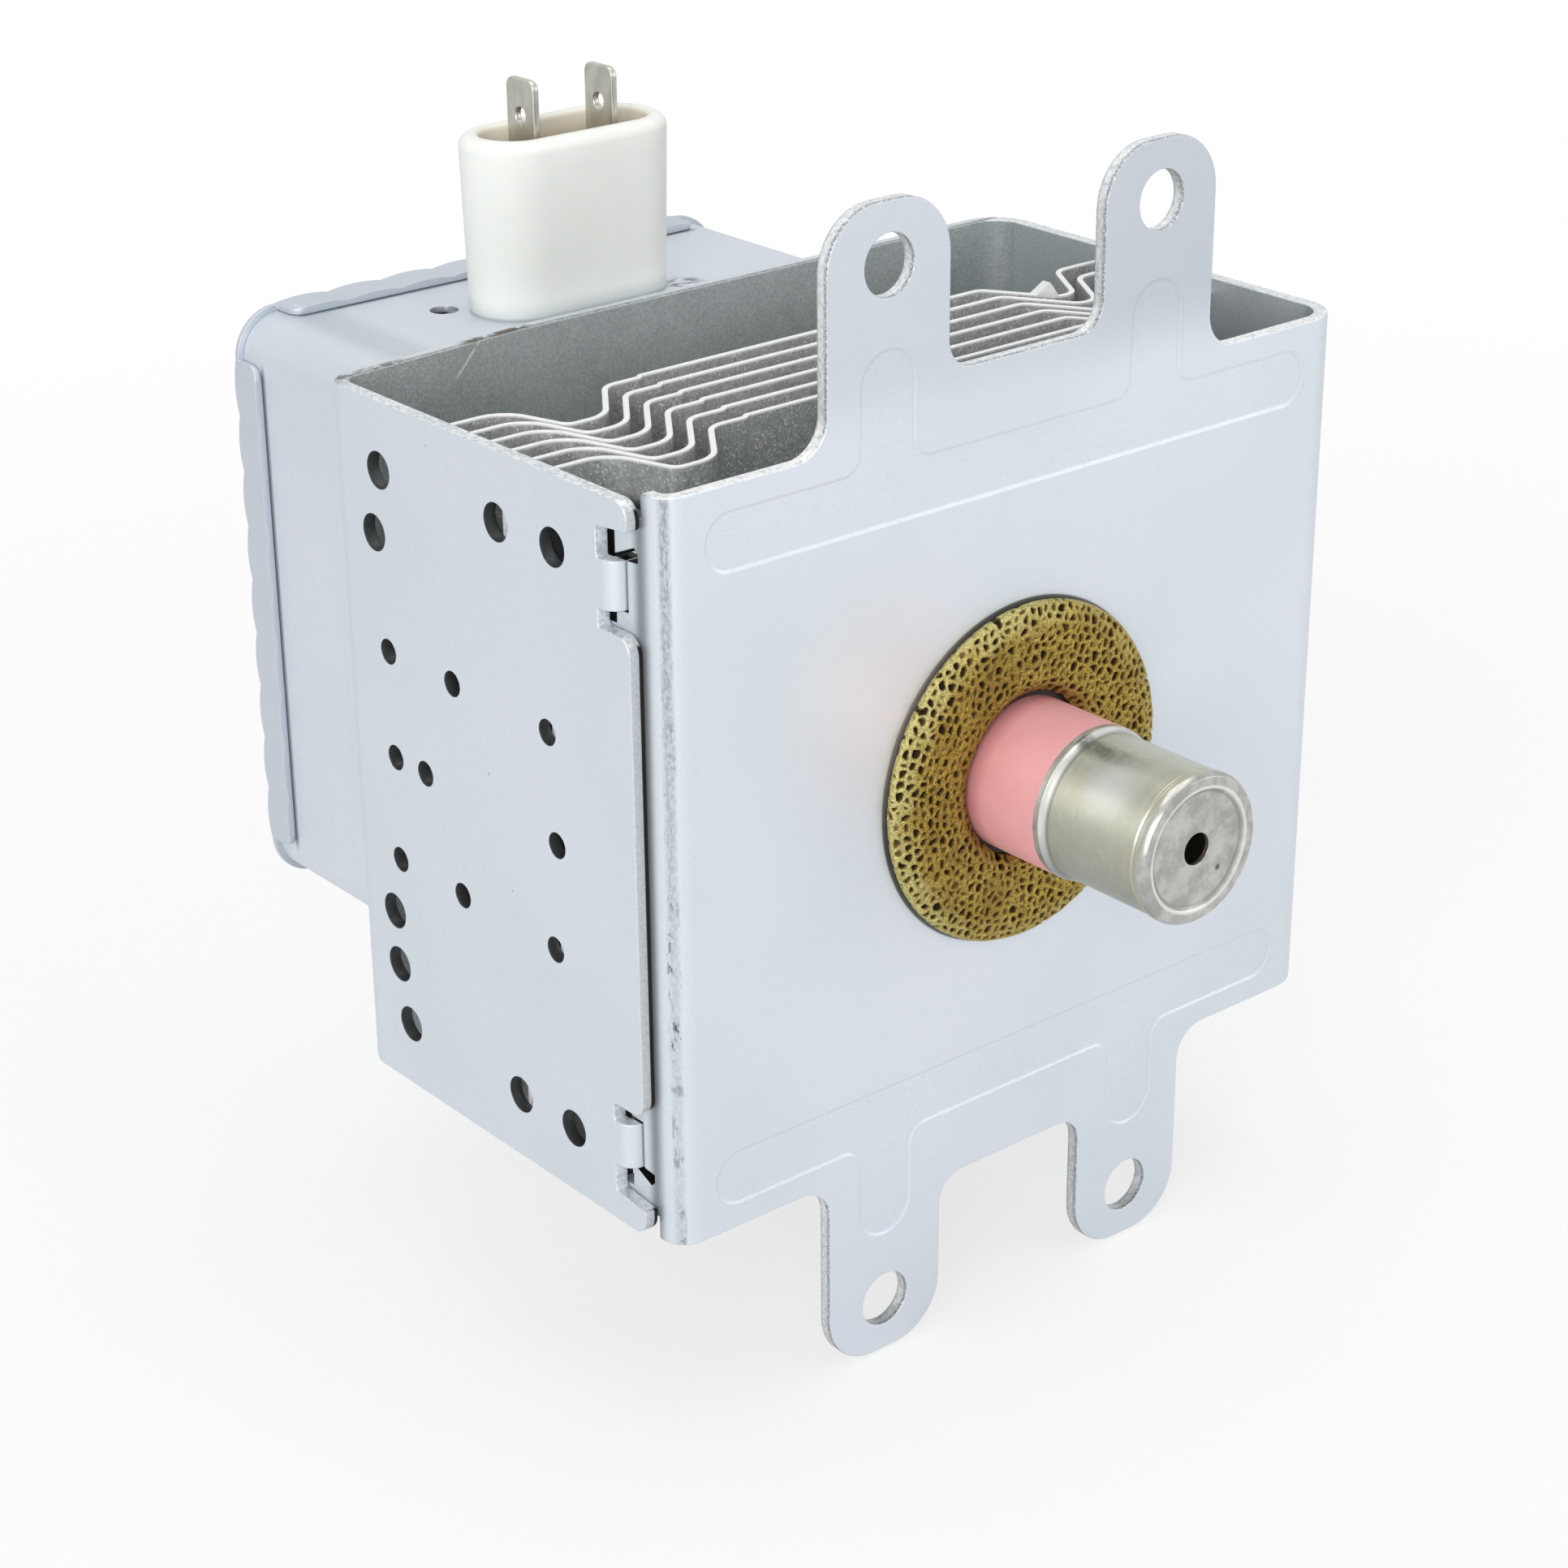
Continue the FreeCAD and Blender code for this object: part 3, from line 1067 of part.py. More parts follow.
def left_choke_winding():
    """Left tab to the centre lead, which is reached from its far side."""
    x = LEFT_CHOKE_X
    y = tail_plane()
    touch = BLOCK_X - TAB_SPACING / 2 - TAB_THICKNESS / 2 - WIRE_R
    z = tab_bottom() + TAB_TAIL / 2
    upper = [vec(x, y, z), vec(touch, y, z), vec(touch, BLOCK_Y, z)]
    over = CATHODE_LEAD_R + WIRE_R
    low = LEFT_TAIL_Z
    lower = [vec(x, y, low), vec(FAR_SIDE_X, y, low), vec(FAR_SIDE_X, y, over), vec(-over, y, over)]
    return choke_winding(x, upper, lower)


def right_choke_winding():
    """Right tab to the side lead; the upper tail passes below the left tab."""
    x = RIGHT_CHOKE_X
    y = tail_plane()
    touch = BLOCK_X + TAB_SPACING / 2 - TAB_THICKNESS / 2 - WIRE_R
    below = tab_bottom() - TAIL_TAB_GAP
    z = tab_bottom() + TAB_TAIL / 2
    upper = [vec(x, y, below), vec(touch, y, below), vec(touch, y, z), vec(touch, BLOCK_Y, z)]
    beside = -(CATHODE_LEAD_R + WIRE_R)
    low = RIGHT_TAIL_Z
    lower = [vec(x, y, low), vec(beside, y, low), vec(beside, y, -SIDE_LEAD_OFFSET + WIRE_R)]
    return choke_winding(x, upper, lower)


def make_parts():
    """Every piece of the magnetron by name."""
    parts = {"yoke": yoke(), "filter_box": filter_box(), "filter_lid": filter_lid()}
    parts["front_magnet"] = ring_magnet(SHEET)
    parts["rear_magnet"] = ring_magnet(REAR_INNER - MAGNET_THICKNESS)
    parts["anode_cylinder"] = anode_cylinder()
    parts["anode_vanes"] = anode_vanes()
    parts["strap_rings"] = strap_rings()
    parts["front_pole_piece"] = front_pole_piece()
    parts["rear_pole_piece"] = pole_piece(ANODE_BACK, -1)
    parts["front_seal_cup"] = seal_cup(ANODE_FRONT, -1, SEAL_NARROW_R, SEAL_FRONT, CERAMIC_BORE_R)
    stem_start = YOKE_DEPTH + BOX_SHEET + SEAL_WALL
    lip = STEM_CERAMIC_R - STEM_LIP
    parts["rear_seal_cup"] = seal_cup(ANODE_BACK, 1, STEM_SEAL_R, stem_start, lip)
    parts["antenna_ceramic"] = antenna_ceramic()
    parts["exhaust_seal"] = exhaust_seal()
    parts["exhaust_tube"] = exhaust_tube()
    parts["antenna_lead"] = antenna_lead()
    parts["antenna_cap"] = antenna_cap()
    parts["rf_gasket"] = rf_gasket()
    parts["filament"] = filament()
    parts["front_hat"] = front_hat()
    parts["rear_hat"] = rear_hat()
    parts["centre_lead"] = centre_lead()
    parts["side_lead"] = side_lead()
    parts["stem_ceramic"] = stem_ceramic()
    parts["stem_gasket"] = stem_gasket()
    for index in range(FIN_COUNT):
        parts["cooling_fin_%d" % (index + 1)] = cooling_fin(index)
    parts["box_rivets"] = rivets()
    parts["terminal_shroud"] = terminal_shroud()
    parts["left_terminal_tab"] = terminal_tab(-1)
    parts["right_terminal_tab"] = terminal_tab(1)
    parts["capacitor_flange"] = capacitor_flange()
    parts["capacitor_body"] = capacitor_body()
    parts["left_choke_core"] = choke_core(LEFT_CHOKE_X)
    parts["right_choke_core"] = choke_core(RIGHT_CHOKE_X)
    parts["left_choke_winding"] = left_choke_winding()
    parts["right_choke_winding"] = right_choke_winding()
    return parts


os.makedirs("parts", exist_ok=True)
for name, shape in make_parts().items():
    shape.exportStep(os.path.join("parts", name + ".step"))
    print(name, len(shape.Solids), round(shape.Volume, 1), shape.isValid())
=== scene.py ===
# %% [markdown]
# # A microwave-oven magnetron, dressed for the photograph
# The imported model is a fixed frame: a folded steel yoke with cooling fins, an antenna, a filter box and a
# terminal block. This script gives every piece its finish, and puts softer or finer pieces over the plain
# solids where the real one has rolled edges, knitted wire or brushed metal. Every length is in metres.

# %% Load the frame
import json
import math
import random

import bmesh
import bpy
from mathutils import Matrix, Vector, noise
from mathutils.bvhtree import BVHTree
from mathutils.kdtree import KDTree


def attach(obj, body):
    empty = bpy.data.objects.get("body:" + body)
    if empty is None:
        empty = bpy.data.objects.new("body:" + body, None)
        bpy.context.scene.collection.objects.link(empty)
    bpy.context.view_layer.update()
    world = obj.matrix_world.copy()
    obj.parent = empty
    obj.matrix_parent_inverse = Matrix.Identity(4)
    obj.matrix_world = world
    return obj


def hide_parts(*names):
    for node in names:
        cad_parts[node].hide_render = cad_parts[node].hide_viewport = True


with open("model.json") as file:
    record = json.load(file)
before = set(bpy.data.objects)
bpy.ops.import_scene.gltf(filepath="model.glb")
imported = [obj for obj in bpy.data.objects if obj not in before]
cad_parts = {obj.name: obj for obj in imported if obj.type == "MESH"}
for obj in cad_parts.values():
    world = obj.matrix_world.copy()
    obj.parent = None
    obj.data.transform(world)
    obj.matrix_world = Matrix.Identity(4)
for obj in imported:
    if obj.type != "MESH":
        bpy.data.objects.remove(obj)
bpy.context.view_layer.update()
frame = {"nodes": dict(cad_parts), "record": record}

nodes = frame["nodes"]
MM = 0.001
print("frame loaded:", len(nodes), "nodes")


# %% [markdown]
# ## The camera
# The photograph was taken from the left of the antenna and a little above, with a longish lens. These
# numbers were worked out from the places of the object's own corners, holes and edges in the picture.

# %% The camera
IMAGE_SIDE = 1932
FOCAL_PIXELS = 4164.5
AZIMUTH = math.radians(39.591)
ELEVATION = math.radians(24.322)
ROLL = math.radians(-0.513)
AIM_OFFSET = Vector((23.476, 1.464, 338.184)) * MM
SENSOR = 36.0

forward = Vector((math.sin(AZIMUTH) * math.cos(ELEVATION),
                  math.cos(AZIMUTH) * math.cos(ELEVATION), -math.sin(ELEVATION)))
level_right = Vector((math.cos(AZIMUTH), -math.sin(AZIMUTH), 0))
level_up = level_right.cross(forward)
right = level_right * math.cos(ROLL) + level_up * math.sin(ROLL)
up = level_up * math.cos(ROLL) - level_right * math.sin(ROLL)
eye = -(right * AIM_OFFSET.x + up * AIM_OFFSET.y + forward * AIM_OFFSET.z)

lens = bpy.data.cameras.new("camera")
lens.sensor_width = SENSOR
lens.lens = FOCAL_PIXELS / IMAGE_SIDE * SENSOR
lens.clip_start = 0.01
lens.clip_end = 20
camera = bpy.data.objects.new("camera", lens)
turn = Matrix((right, up, -forward)).transposed().to_4x4()
camera.matrix_world = Matrix.Translation(eye) @ turn
bpy.context.scene.collection.objects.link(camera)
bpy.context.scene.camera = camera
print("camera at", [round(v, 4) for v in eye], "lens", round(lens.lens, 1))


# %% [markdown]
# ## Writing shader maths as Python
# A finish is a small network of nodes. Wrapping each socket in a class with operators lets the maths be read
# as a sum, such as `1 - mask * 0.3`, and one method makes every other kind of node.

# %% Sockets with operators, and finishes
class Wire:
    """An output socket that takes part in Python arithmetic."""

    def __init__(self, finish, socket):
        self.finish = finish
        self.socket = socket

    def maths(self, operation, first, second=0.0):
        return self.finish.node("ShaderNodeMath", {"operation": operation}, {0: first, 1: second})

    def __add__(self, other):
        return self.maths("ADD", self, other)

    def __radd__(self, other):
        return self.maths("ADD", other, self)

    def __sub__(self, other):
        return self.maths("SUBTRACT", self, other)

    def __rsub__(self, other):
        return self.maths("SUBTRACT", other, self)

    def __mul__(self, other):
        return self.maths("MULTIPLY", self, other)

    def __rmul__(self, other):
        return self.maths("MULTIPLY", other, self)

    def __abs__(self):
        return self.maths("ABSOLUTE", self)


class Finish:
    """One material while it is being written."""

    def __init__(self, name):
        self.material = bpy.data.materials.new(name)
        self.material.use_nodes = True
        self.tree = self.material.node_tree
        self.tree.nodes.clear()
        coords = self.node("ShaderNodeTexCoord", out="Object")
        self.mm = self.node("ShaderNodeMapping", {}, {"Vector": coords, "Scale": (1000, 1000, 1000)})

    def node(self, kind, settings=None, sockets=None, out=0):
        """Makes a node, sets or links its sockets, and returns the output that is asked for."""
        made = self.tree.nodes.new(kind)
        for key, value in (settings or {}).items():
            setattr(made, key, value)
        for key, value in (sockets or {}).items():
            if isinstance(value, Wire):
                self.tree.links.new(value.socket, made.inputs[key])
            elif isinstance(value, tuple) and len(value) == 3 and made.inputs[key].type == "RGBA":
                made.inputs[key].default_value = (*value, 1)
            else:
                made.inputs[key].default_value = value
        return Wire(self, made.outputs[out]) if len(made.outputs) else None

    def grain(self, per_mm, detail=3.0, roughness=0.55, stretch=(1, 1, 1)):
        """Noise from 0 to 1 with features of about 1 / per_mm millimetres."""
        moved = self.node("ShaderNodeMapping", {}, {"Vector": self.mm, "Scale": stretch})
        return self.node("ShaderNodeTexNoise", {}, {"Vector": moved, "Scale": per_mm,
                                                   "Detail": detail, "Roughness": roughness})

    def cells(self, per_mm):
        """The distance to the nearest of many scattered points, for sparkles and specks."""
        return self.node("ShaderNodeTexVoronoi", {}, {"Vector": self.mm, "Scale": per_mm, "Randomness": 1.0})

    def step(self, value, low, high):
        """0 below low, 1 above high, smooth between; low may be the larger one."""
        return self.node("ShaderNodeMapRange", {"interpolation_type": "SMOOTHSTEP", "clamp": True},
                         {"Value": value, "From Min": low, "From Max": high})

    def mix(self, first, second, mask):
        """A colour that goes from first to second as mask goes from 0 to 1."""
        return self.node("ShaderNodeMix", {"data_type": "RGBA"}, {0: mask, 6: first, 7: second}, out=2)

    def larger(self, first, second):
        return self.node("ShaderNodeMath", {"operation": "MAXIMUM"}, {0: first, 1: second})

    def root(self, value):
        return self.node("ShaderNodeMath", {"operation": "SQRT"}, {0: value})

    def axis(self, letter):
        """One coordinate of the piece, in millimetres."""
        return self.node("ShaderNodeSeparateXYZ", {}, {0: self.mm}, out=letter)

    def axes(self):
        return [self.axis(letter) for letter in "XYZ"]

    def spot(self, place, radius, soft=0.5):
        """1 at a place in millimetres, falling to 0 at radius."""
        far = self.node("ShaderNodeVectorMath", {"operation": "DISTANCE"}, {0: self.mm, 1: place},
                        out="Value")
        return self.step(far, radius, radius * soft)

    def bump(self, height, depth_mm, strength=1.0):
        """A normal that follows a height; the height's 1 stands depth_mm above its 0."""
        return self.node("ShaderNodeBump", {}, {"Height": height, "Distance": depth_mm * MM,
                                               "Strength": strength})

    def done(self, **sockets):
        """Joins the named sockets to one surface, and returns the material."""
        shader = self.node("ShaderNodeBsdfPrincipled", {},
                           {key.replace("_", " "): value for key, value in sockets.items()})
        self.node("ShaderNodeOutputMaterial", {}, {"Surface": shader})
        return self.material


# %% [markdown]
# ## The coated steel
# Yoke, filter box and lid are sheet steel with a satin metal coating: pale, a little blue, and finely
# speckled where the coating crystals catch the light. A fine noise makes the speckle, in the colour and in
# the height, and coarser ones make it cloudy. Each piece then lays its own wear and painted shade over this
# coat.

# %% The coat
def coating(f, fine):
    """The satin coat with its fine crystals, and how rough it is."""
    cloud = f.grain(0.035, 2.0, 0.5)
    blotch = f.grain(0.9, 3.0, 0.6)
    pale = f.mix((0.655, 0.715, 0.765), (0.695, 0.735, 0.80), f.step(cloud, 0.35, 0.65))
    colour = f.mix(pale, (0.50, 0.55, 0.59), f.step(fine, 0.54, 0.80) * 0.55)
    colour = f.mix(colour, (0.88, 0.92, 0.94), f.step(fine, 0.46, 0.24) * 0.55)
    colour = f.mix(colour, (0.58, 0.63, 0.67), f.step(blotch, 0.55, 0.85) * 0.35)
    return colour, 0.38 + f.step(fine, 0.3, 0.7) * 0.12 + f.step(blotch, 0.4, 0.7) * 0.06


def coated_steel(name, overlay):
    """The coat, with the wear and painted shade that the given function lays over its colour and its
    roughness.
    """
    f = Finish(name)
    fine = f.grain(9.0, 2.0, 0.6)
    colour, rough = overlay(f, *coating(f, fine))
    height = fine * 0.6 + f.grain(2.0, 3.0, 0.6) * 0.8
    return f.done(Base_Color=colour, Metallic=0.5, Roughness=rough, Normal=f.bump(height, 0.02, 0.5))


print("the coat is ready, each piece adds its wear")


# %% [markdown]
# ## Wear and painted shade on the yoke
# The faces that look into the folded frame are painted darker than the rest, as shade, with painted glints
# of crystals near the light. They are told apart by where they lie: behind the plate, before the rear wall
# and between the side walls. Soft steps along the axes, multiplied together, give that mask.

# %% Inside the frame
WALL_X = 44.15
FLANGE_X = 42.55
FLANGE_END = 13.0
PLATE_BACK = 1.5
REAR_WALL = 51.3
EAR_FOOT = 38.5
LIT_FROM = -22.0
LIT_FULLY = -43.0


def inside_yoke(f, x, y, z):
    """1 on the faces that look into the folded frame; the tucked flange hides part of the left wall."""
    left = f.step(x, -WALL_X - 0.15, -WALL_X + 0.1)
    behind = f.step(y, FLANGE_END - 0.1, FLANGE_END + 0.1)
    past_flange = f.step(x, -FLANGE_X - 0.1, -FLANGE_X + 0.1)
    left = left * f.larger(behind, past_flange)
    right = f.step(x, WALL_X + 0.15, WALL_X - 0.1)
    front = f.step(y, PLATE_BACK - 0.1, PLATE_BACK)
    rear = f.step(y, REAR_WALL + 0.15, REAR_WALL + 0.02)
    # The backs of the ears stand free above and below the frame, and get no painted shade.
    below_ears = f.step(abs(z), EAR_FOOT + 4.0, EAR_FOOT)
    return left * right * front * rear * below_ears


def shaded_inner_coat(f, x):
    """The inner coat, painted darker as shade, with painted glints where light falls steeply into the frame.
    """
    speckle = f.step(f.grain(5.0, 4.0, 0.7), 0.36, 0.68)
    drift = f.step(f.grain(0.12, 3.0, 0.6), 0.3, 0.7)
    # Painted shade: a darker coat colour for the faces inside the frame.
    dull = f.mix((0.35, 0.385, 0.39), (0.58, 0.625, 0.63), speckle * 0.75 + drift * 0.25)
    near_light = 0.06 + f.step(x, LIT_FROM, LIT_FULLY) * 0.6
    # Painted glints: near-white specks, strongest near the light.
    return f.mix(dull, (0.98, 0.98, 0.93), f.step(f.cells(3.4), 0.30, 0.14) * near_light)


print("inside of the frame: behind", PLATE_BACK, "and before", REAR_WALL, "mm")


# %% [markdown]
# ## Marks on the yoke
# Outside, the fold at the front left is tired, a painted shadow rings the knitted ring, painted shade lies
# along the left wall's cut edge, the rear wall is scratched, a painted glow lies left of the ring and the
# upper ears are painted darker as shade. Each mark is a mask of its own, so that it stays where the real one
# is.

# %% Marks on the yoke
FOLD_LINE = 44.2
FOLD_HALF = 1.15
RING_SHADOW_R = 18.1
SCRATCH_AT = (-28.5, 37.2)
SCRATCH_LEAN = -0.9
GLOW_AT = (-18.0, 0.0, 12.0)
GLOW_R = 17.0


def tired_fold(f, colour, x, y, z):
    """Grey scuffs and a row of dark dashes along the fold at the front left."""
    fold = f.step(x, -41.4, -41.9) * f.step(y, 2.7, 2.4)
    across = abs(x - y + FOLD_LINE)
    fine = f.grain(3.2, 4.0, 0.75, stretch=(1, 1, 0.45))
    tired = f.step(across, FOLD_HALF, 0.2) * (0.45 + f.step(fine, 0.40, 0.60) * 0.55)
    tired = tired * (0.45 + f.step(z, -25.0, 30.0) * 0.55)
    colour = f.mix(colour, (0.27, 0.285, 0.30), tired * fold * 0.9)
    dashes = f.step(f.grain(0.95, 5.0, 0.75, stretch=(1, 1, 0.42)), 0.54, 0.63)
    heavy = 0.45 + f.step(abs(z + 11.0), 9.0, 3.0) * 0.55
    dashes = dashes * f.step(across, FOLD_HALF, 0.5) * f.step(z, 26.0, 14.0) * fold
    return f.mix(colour, (0.07, 0.07, 0.08), dashes * heavy)


def plate_and_wall_marks(f, colour, x, y, z):
    """The painted shadow round the ring, painted shade along the wall's cut edge, a scratch, a few specks and
    a painted glow.
    """
    on_plate = f.step(y, 0.3, 0.1)
    # Painted shadow: a dark ring on the plate just outside the knitted ring.
    ring_shadow = f.step(f.root(x * x + z * z), RING_SHADOW_R + 0.25, RING_SHADOW_R) * on_plate
    colour = f.mix(colour, (0.03, 0.03, 0.025), ring_shadow * 0.85)
    # Painted shade on the flange beside the left wall's cut edge.
    seam_shade = f.step(y, 1.9, 3.5) * f.step(x, -44.6, -44.4) * f.step(x, -43.2, -43.6) * f.step(y, 5.0, 3.6)
    colour = f.mix(colour, (0.14, 0.15, 0.15), seam_shade * 0.75)
    line = abs((x - SCRATCH_AT[0]) + (z - SCRATCH_AT[1]) * SCRATCH_LEAN)
    scratch = f.step(line, 0.28, 0.08) * f.step(abs(z - 36.6), 2.0, 1.2) * f.step(y, 50.6, 51.2)
    scratch = scratch * f.step(f.grain(1.6, 3.0, 0.6), 0.36, 0.50)
    colour = f.mix(colour, (0.90, 0.90, 0.86), scratch * 0.85)
    colour = f.mix(colour, (0.24, 0.25, 0.27), f.step(f.cells(0.10), 0.022, 0.010) * 0.6)
    # A faint warm, pinkish glow is painted on the plate to the left of the ring, as painted light.
    return f.mix(colour, (0.86, 0.72, 0.73), f.spot(GLOW_AT, GLOW_R, 0.1) * on_plate * 0.36)


def yoke_wear_and_shade(f, colour, rough):
    """All the wear and painted shade that lie over the coat of the yoke, from the inside of the frame to the
    ears.
    """
    x, y, z = f.axes()
    within = inside_yoke(f, x, y, z)
    # The faces inside the frame are painted darker, as shade.
    colour = f.mix(colour, shaded_inner_coat(f, x), within)
    colour = tired_fold(f, colour, x, y, z)
    colour = plate_and_wall_marks(f, colour, x, y, z)
    # The upper ears are painted darker, as shade, the right one more.
    ear_shade = 0.3 + f.step(x, 0.0, 16.0) * 0.24
    colour = f.mix(colour, (0.40, 0.44, 0.485), f.step(z, 38.0, 46.0) * ear_shade)
    return colour, rough + within * 0.06


steel = coated_steel("coated_steel", yoke_wear_and_shade)
print("yoke: 1 finish")


# %% [markdown]
# ## Wear and painted shade on the box and the lid
# The box has a dark mark in a dent of its top, painted shade in the crevice along the lid's skirts, and
# painted shade beside the bend's highlight. The lid is plain, and a little darker all over.

# %% Wear and painted shade on the box and the lid
BOX_DENT = (2.3, 55.5, 37.8)
BOX_DENT_R = 2.8
BOX_BEND_X = -34.6
BOX_TOP = 37.6
BOX_MIDDLE = (-9.65, 5.7)
SKIRT_FRONT = 72.2
CREVICE_END = (26.6, 27.6)
LID_DARKER = 0.3


def box_wear_and_shade(f, colour, rough):
    """The dent's mark, painted shade along the skirts and painted shade beside the bend."""
    x, y, z = f.axes()
    blotches = f.step(f.grain(0.8, 4.0, 0.7, stretch=(0.5, 1, 1)), 0.44, 0.56)
    mark = blotches * f.spot(BOX_DENT, BOX_DENT_R, 0.4)
    colour = f.mix(colour, (0.13, 0.14, 0.155), mark * 0.9)
    # Painted shade: a dark line on the box along the front edge of the lid's skirts.
    crevice_shade = f.step(y, SKIRT_FRONT - 0.75, SKIRT_FRONT - 0.15)
    crevice_shade = crevice_shade * f.step(y, SKIRT_FRONT + 0.3, SKIRT_FRONT)
    # The painted shade thins out before the corners.
    corner = f.step(abs(x - BOX_MIDDLE[0]), CREVICE_END[0] - 1.0, CREVICE_END[0] + 0.6)
    corner = corner * f.step(abs(z - BOX_MIDDLE[1]), CREVICE_END[1] - 1.0, CREVICE_END[1] + 0.6)
    colour = f.mix(colour, (0.17, 0.19, 0.215), crevice_shade * (1 - corner) * 0.85)
    # Painted shade: the bend is darker beside its highlight.
    bend_shade = f.step(abs(x - BOX_BEND_X), 4.2, 0.8) * f.step(z, BOX_TOP - 0.7, BOX_TOP)
    return f.mix(colour, (0.40, 0.44, 0.48), bend_shade * 0.38), rough


def lid_darkening(f, colour, rough):
    """The lid is only a little darker all over."""
    return f.mix(colour, (0.36, 0.40, 0.455), LID_DARKER), rough


box_steel = coated_steel("coated_box_steel", box_wear_and_shade)
lid_steel = coated_steel("coated_lid_steel", lid_darkening)
print("box and lid: 2 finishes")


# %% [markdown]
# ## The cut edges
# Where the shear or the punch went through the sheet, the metal is brighter and shows a torn grain. One
# finish covers every cut edge of the yoke, and masks tell the kept rims, the ears, the rubbed rear rim and
# the punched holes apart. Painted shade darkens the gap at the left wall's front edge, the holes and the
# slots.

# %% Cut edges of the yoke
RIM_TOP = 37.0
WALL_RIM = -44.0
REAR_RIM = 51.0
EAR_START = 39.5
RUBBED_AT = (-25.2, -41.0)
HOLES_FROM, HOLES_TO = 8.5, 50.0
HOLE_SHADE = (0.07, 0.075, 0.08)
SHADE_BLACK = (0.012, 0.012, 0.012)


def rims_and_ears(f, colour, torn, x, y, z):
    """The rims of the left and rear walls kept most of their coat; the ears and the plate were cut bright."""
    on_rear = f.step(y, REAR_RIM, REAR_RIM + 0.2)
    on_top = f.step(abs(z), RIM_TOP, RIM_TOP + 0.4)
    rims = f.larger(f.step(x, WALL_RIM, WALL_RIM - 0.15), on_rear) * on_top
    grain = f.step(torn, 0.36, 0.60)
    kept = f.mix((0.54, 0.57, 0.59), (0.82, 0.86, 0.88), grain)
    satin = f.mix((0.60, 0.64, 0.68), (0.70, 0.74, 0.78), grain)
    kept = f.mix(kept, satin, f.step(y, 47.0, 49.5))
    colour = f.mix(colour, kept, rims * 0.9)
    # A thin grey line follows the rear wall's inner edge.
    inner_edge = f.step(y, 51.9, 51.6) * on_rear * on_top
    colour = f.mix(colour, (0.20, 0.20, 0.20), inner_edge * (0.35 + f.step(torn, 0.36, 0.56) * 0.5))
    plate_top = f.step(y, 1.8, 1.6) * f.step(abs(z), RIM_TOP - 0.5, RIM_TOP) * f.step(torn, 0.34, 0.52)
    colour = f.mix(colour, (0.95, 0.96, 0.95), plate_top * (0.75 - f.step(abs(z), 40.5, 43.5) * 0.6))
    # On the ears a dark grainy line follows the front face, and a paler one the back.
    speckled = f.step(f.grain(5.0, 4.0, 0.75), 0.38, 0.58) * f.step(abs(z), EAR_START, EAR_START + 1.5)
    colour = f.mix(colour, (0.17, 0.18, 0.19), speckled * f.step(y, 0.62, 0.30) * 0.8)
    return f.mix(colour, (0.34, 0.36, 0.38), speckled * f.step(y, 1.15, 1.3) * 0.7)


def rubs_gaps_and_holes(f, colour, x, y, z):
    """Brown rubs on the rear rim, and painted shade in the gap at the wall's front edge, in the holes and in
    the slots.
    """
    rubbed = f.step(f.grain(0.55, 4.0, 0.7), 0.42, 0.54) * f.step(y, 49.0, 50.5) * f.step(z, 36.0, 37.0)
    places = f.larger(f.step(abs(x - RUBBED_AT[0]), 5.0, 2.8), f.step(abs(x - RUBBED_AT[1]), 5.5, 3.0) * 0.7)
    colour = f.mix(colour, (0.095, 0.075, 0.06), rubbed * f.step(y, 52.6, 52.1) * places)
    # The left wall's front edge stands a little off the flange. The edge is painted grey and its inner part
    # black, as painted shade of the gap between them.
    front_edge = f.step(y, 3.75, 3.5) * f.step(y, 2.2, 2.5)
    colour = f.mix(colour, (0.42, 0.44, 0.46), front_edge * f.step(x, -43.9, -44.1) * 0.6)
    gap = front_edge * f.step(x, -44.66, -44.56) * f.step(x, -43.9, -44.0)
    colour = f.mix(colour, SHADE_BLACK, gap)
    # The punched holes of the left wall are painted dark inside, as shade, and the slots of the flange are
    # painted black, as shade.
    holes = f.step(x, -43.9, -44.1) * f.step(y, HOLES_FROM, HOLES_FROM + 0.5)
    holes = holes * f.step(y, HOLES_TO, HOLES_TO - 1.0) * f.step(abs(z), 36.6, 36.2)
    colour = f.mix(colour, HOLE_SHADE, holes)
    slots = f.step(x, -44.12, -44.02) * f.step(x, -42.2, -42.4) * f.step(y, 3.4, 3.6) * f.step(y, 9.9, 9.5)
    return f.mix(colour, SHADE_BLACK, slots)


def sheared_steel():
    """The bright torn metal of a cut, with what lies over it at each place."""
    f = Finish("sheared_edge")
    torn = f.grain(2.4, 4.0, 0.65)
    x, y, z = f.axes()
    colour = f.mix((0.60, 0.63, 0.65), (0.84, 0.87, 0.89), f.step(torn, 0.35, 0.62))
    colour = rims_and_ears(f, colour, torn, x, y, z)
    colour = rubs_gaps_and_holes(f, colour, x, y, z)
    return f.done(Base_Color=colour, Metallic=0.5, Roughness=0.40 + f.step(torn, 0.4, 0.7) * 0.15,
                  Normal=f.bump(torn, 0.025, 0.4))


cut_steel = sheared_steel()
print("cut edges: 1 finish")


# %% [markdown]
# ## Other metals
# Fins are bare aluminium, rolled matt on their faces and bright where the shear cut them, with painted
# glints, a painted highlight on their top edges and painted shade behind the wall's slots. Tabs and rivets
# are plated, and the box's cut edges are painted dark as shade. Copper, iron and the seals are hidden inside,
# and are finished more simply but still with grain; the cup behind the ring is painted near black as shade.

# %% Plain metals
FIN_TOP = 36.72


def metal(name, dark, light, per_mm, roughness, metallic=1.0, depth=0.01, stretch=(1, 1, 1)):
    """A metal mottled between two colours."""
    f = Finish(name)
    mottle = f.grain(per_mm, 4.0, 0.6, stretch=stretch)
    mask = f.step(mottle, 0.35, 0.65)
    return f.done(Base_Color=f.mix(dark, light, mask), Metallic=metallic,
                  Roughness=roughness + mask * 0.08, Normal=f.bump(mottle, depth, 0.5))


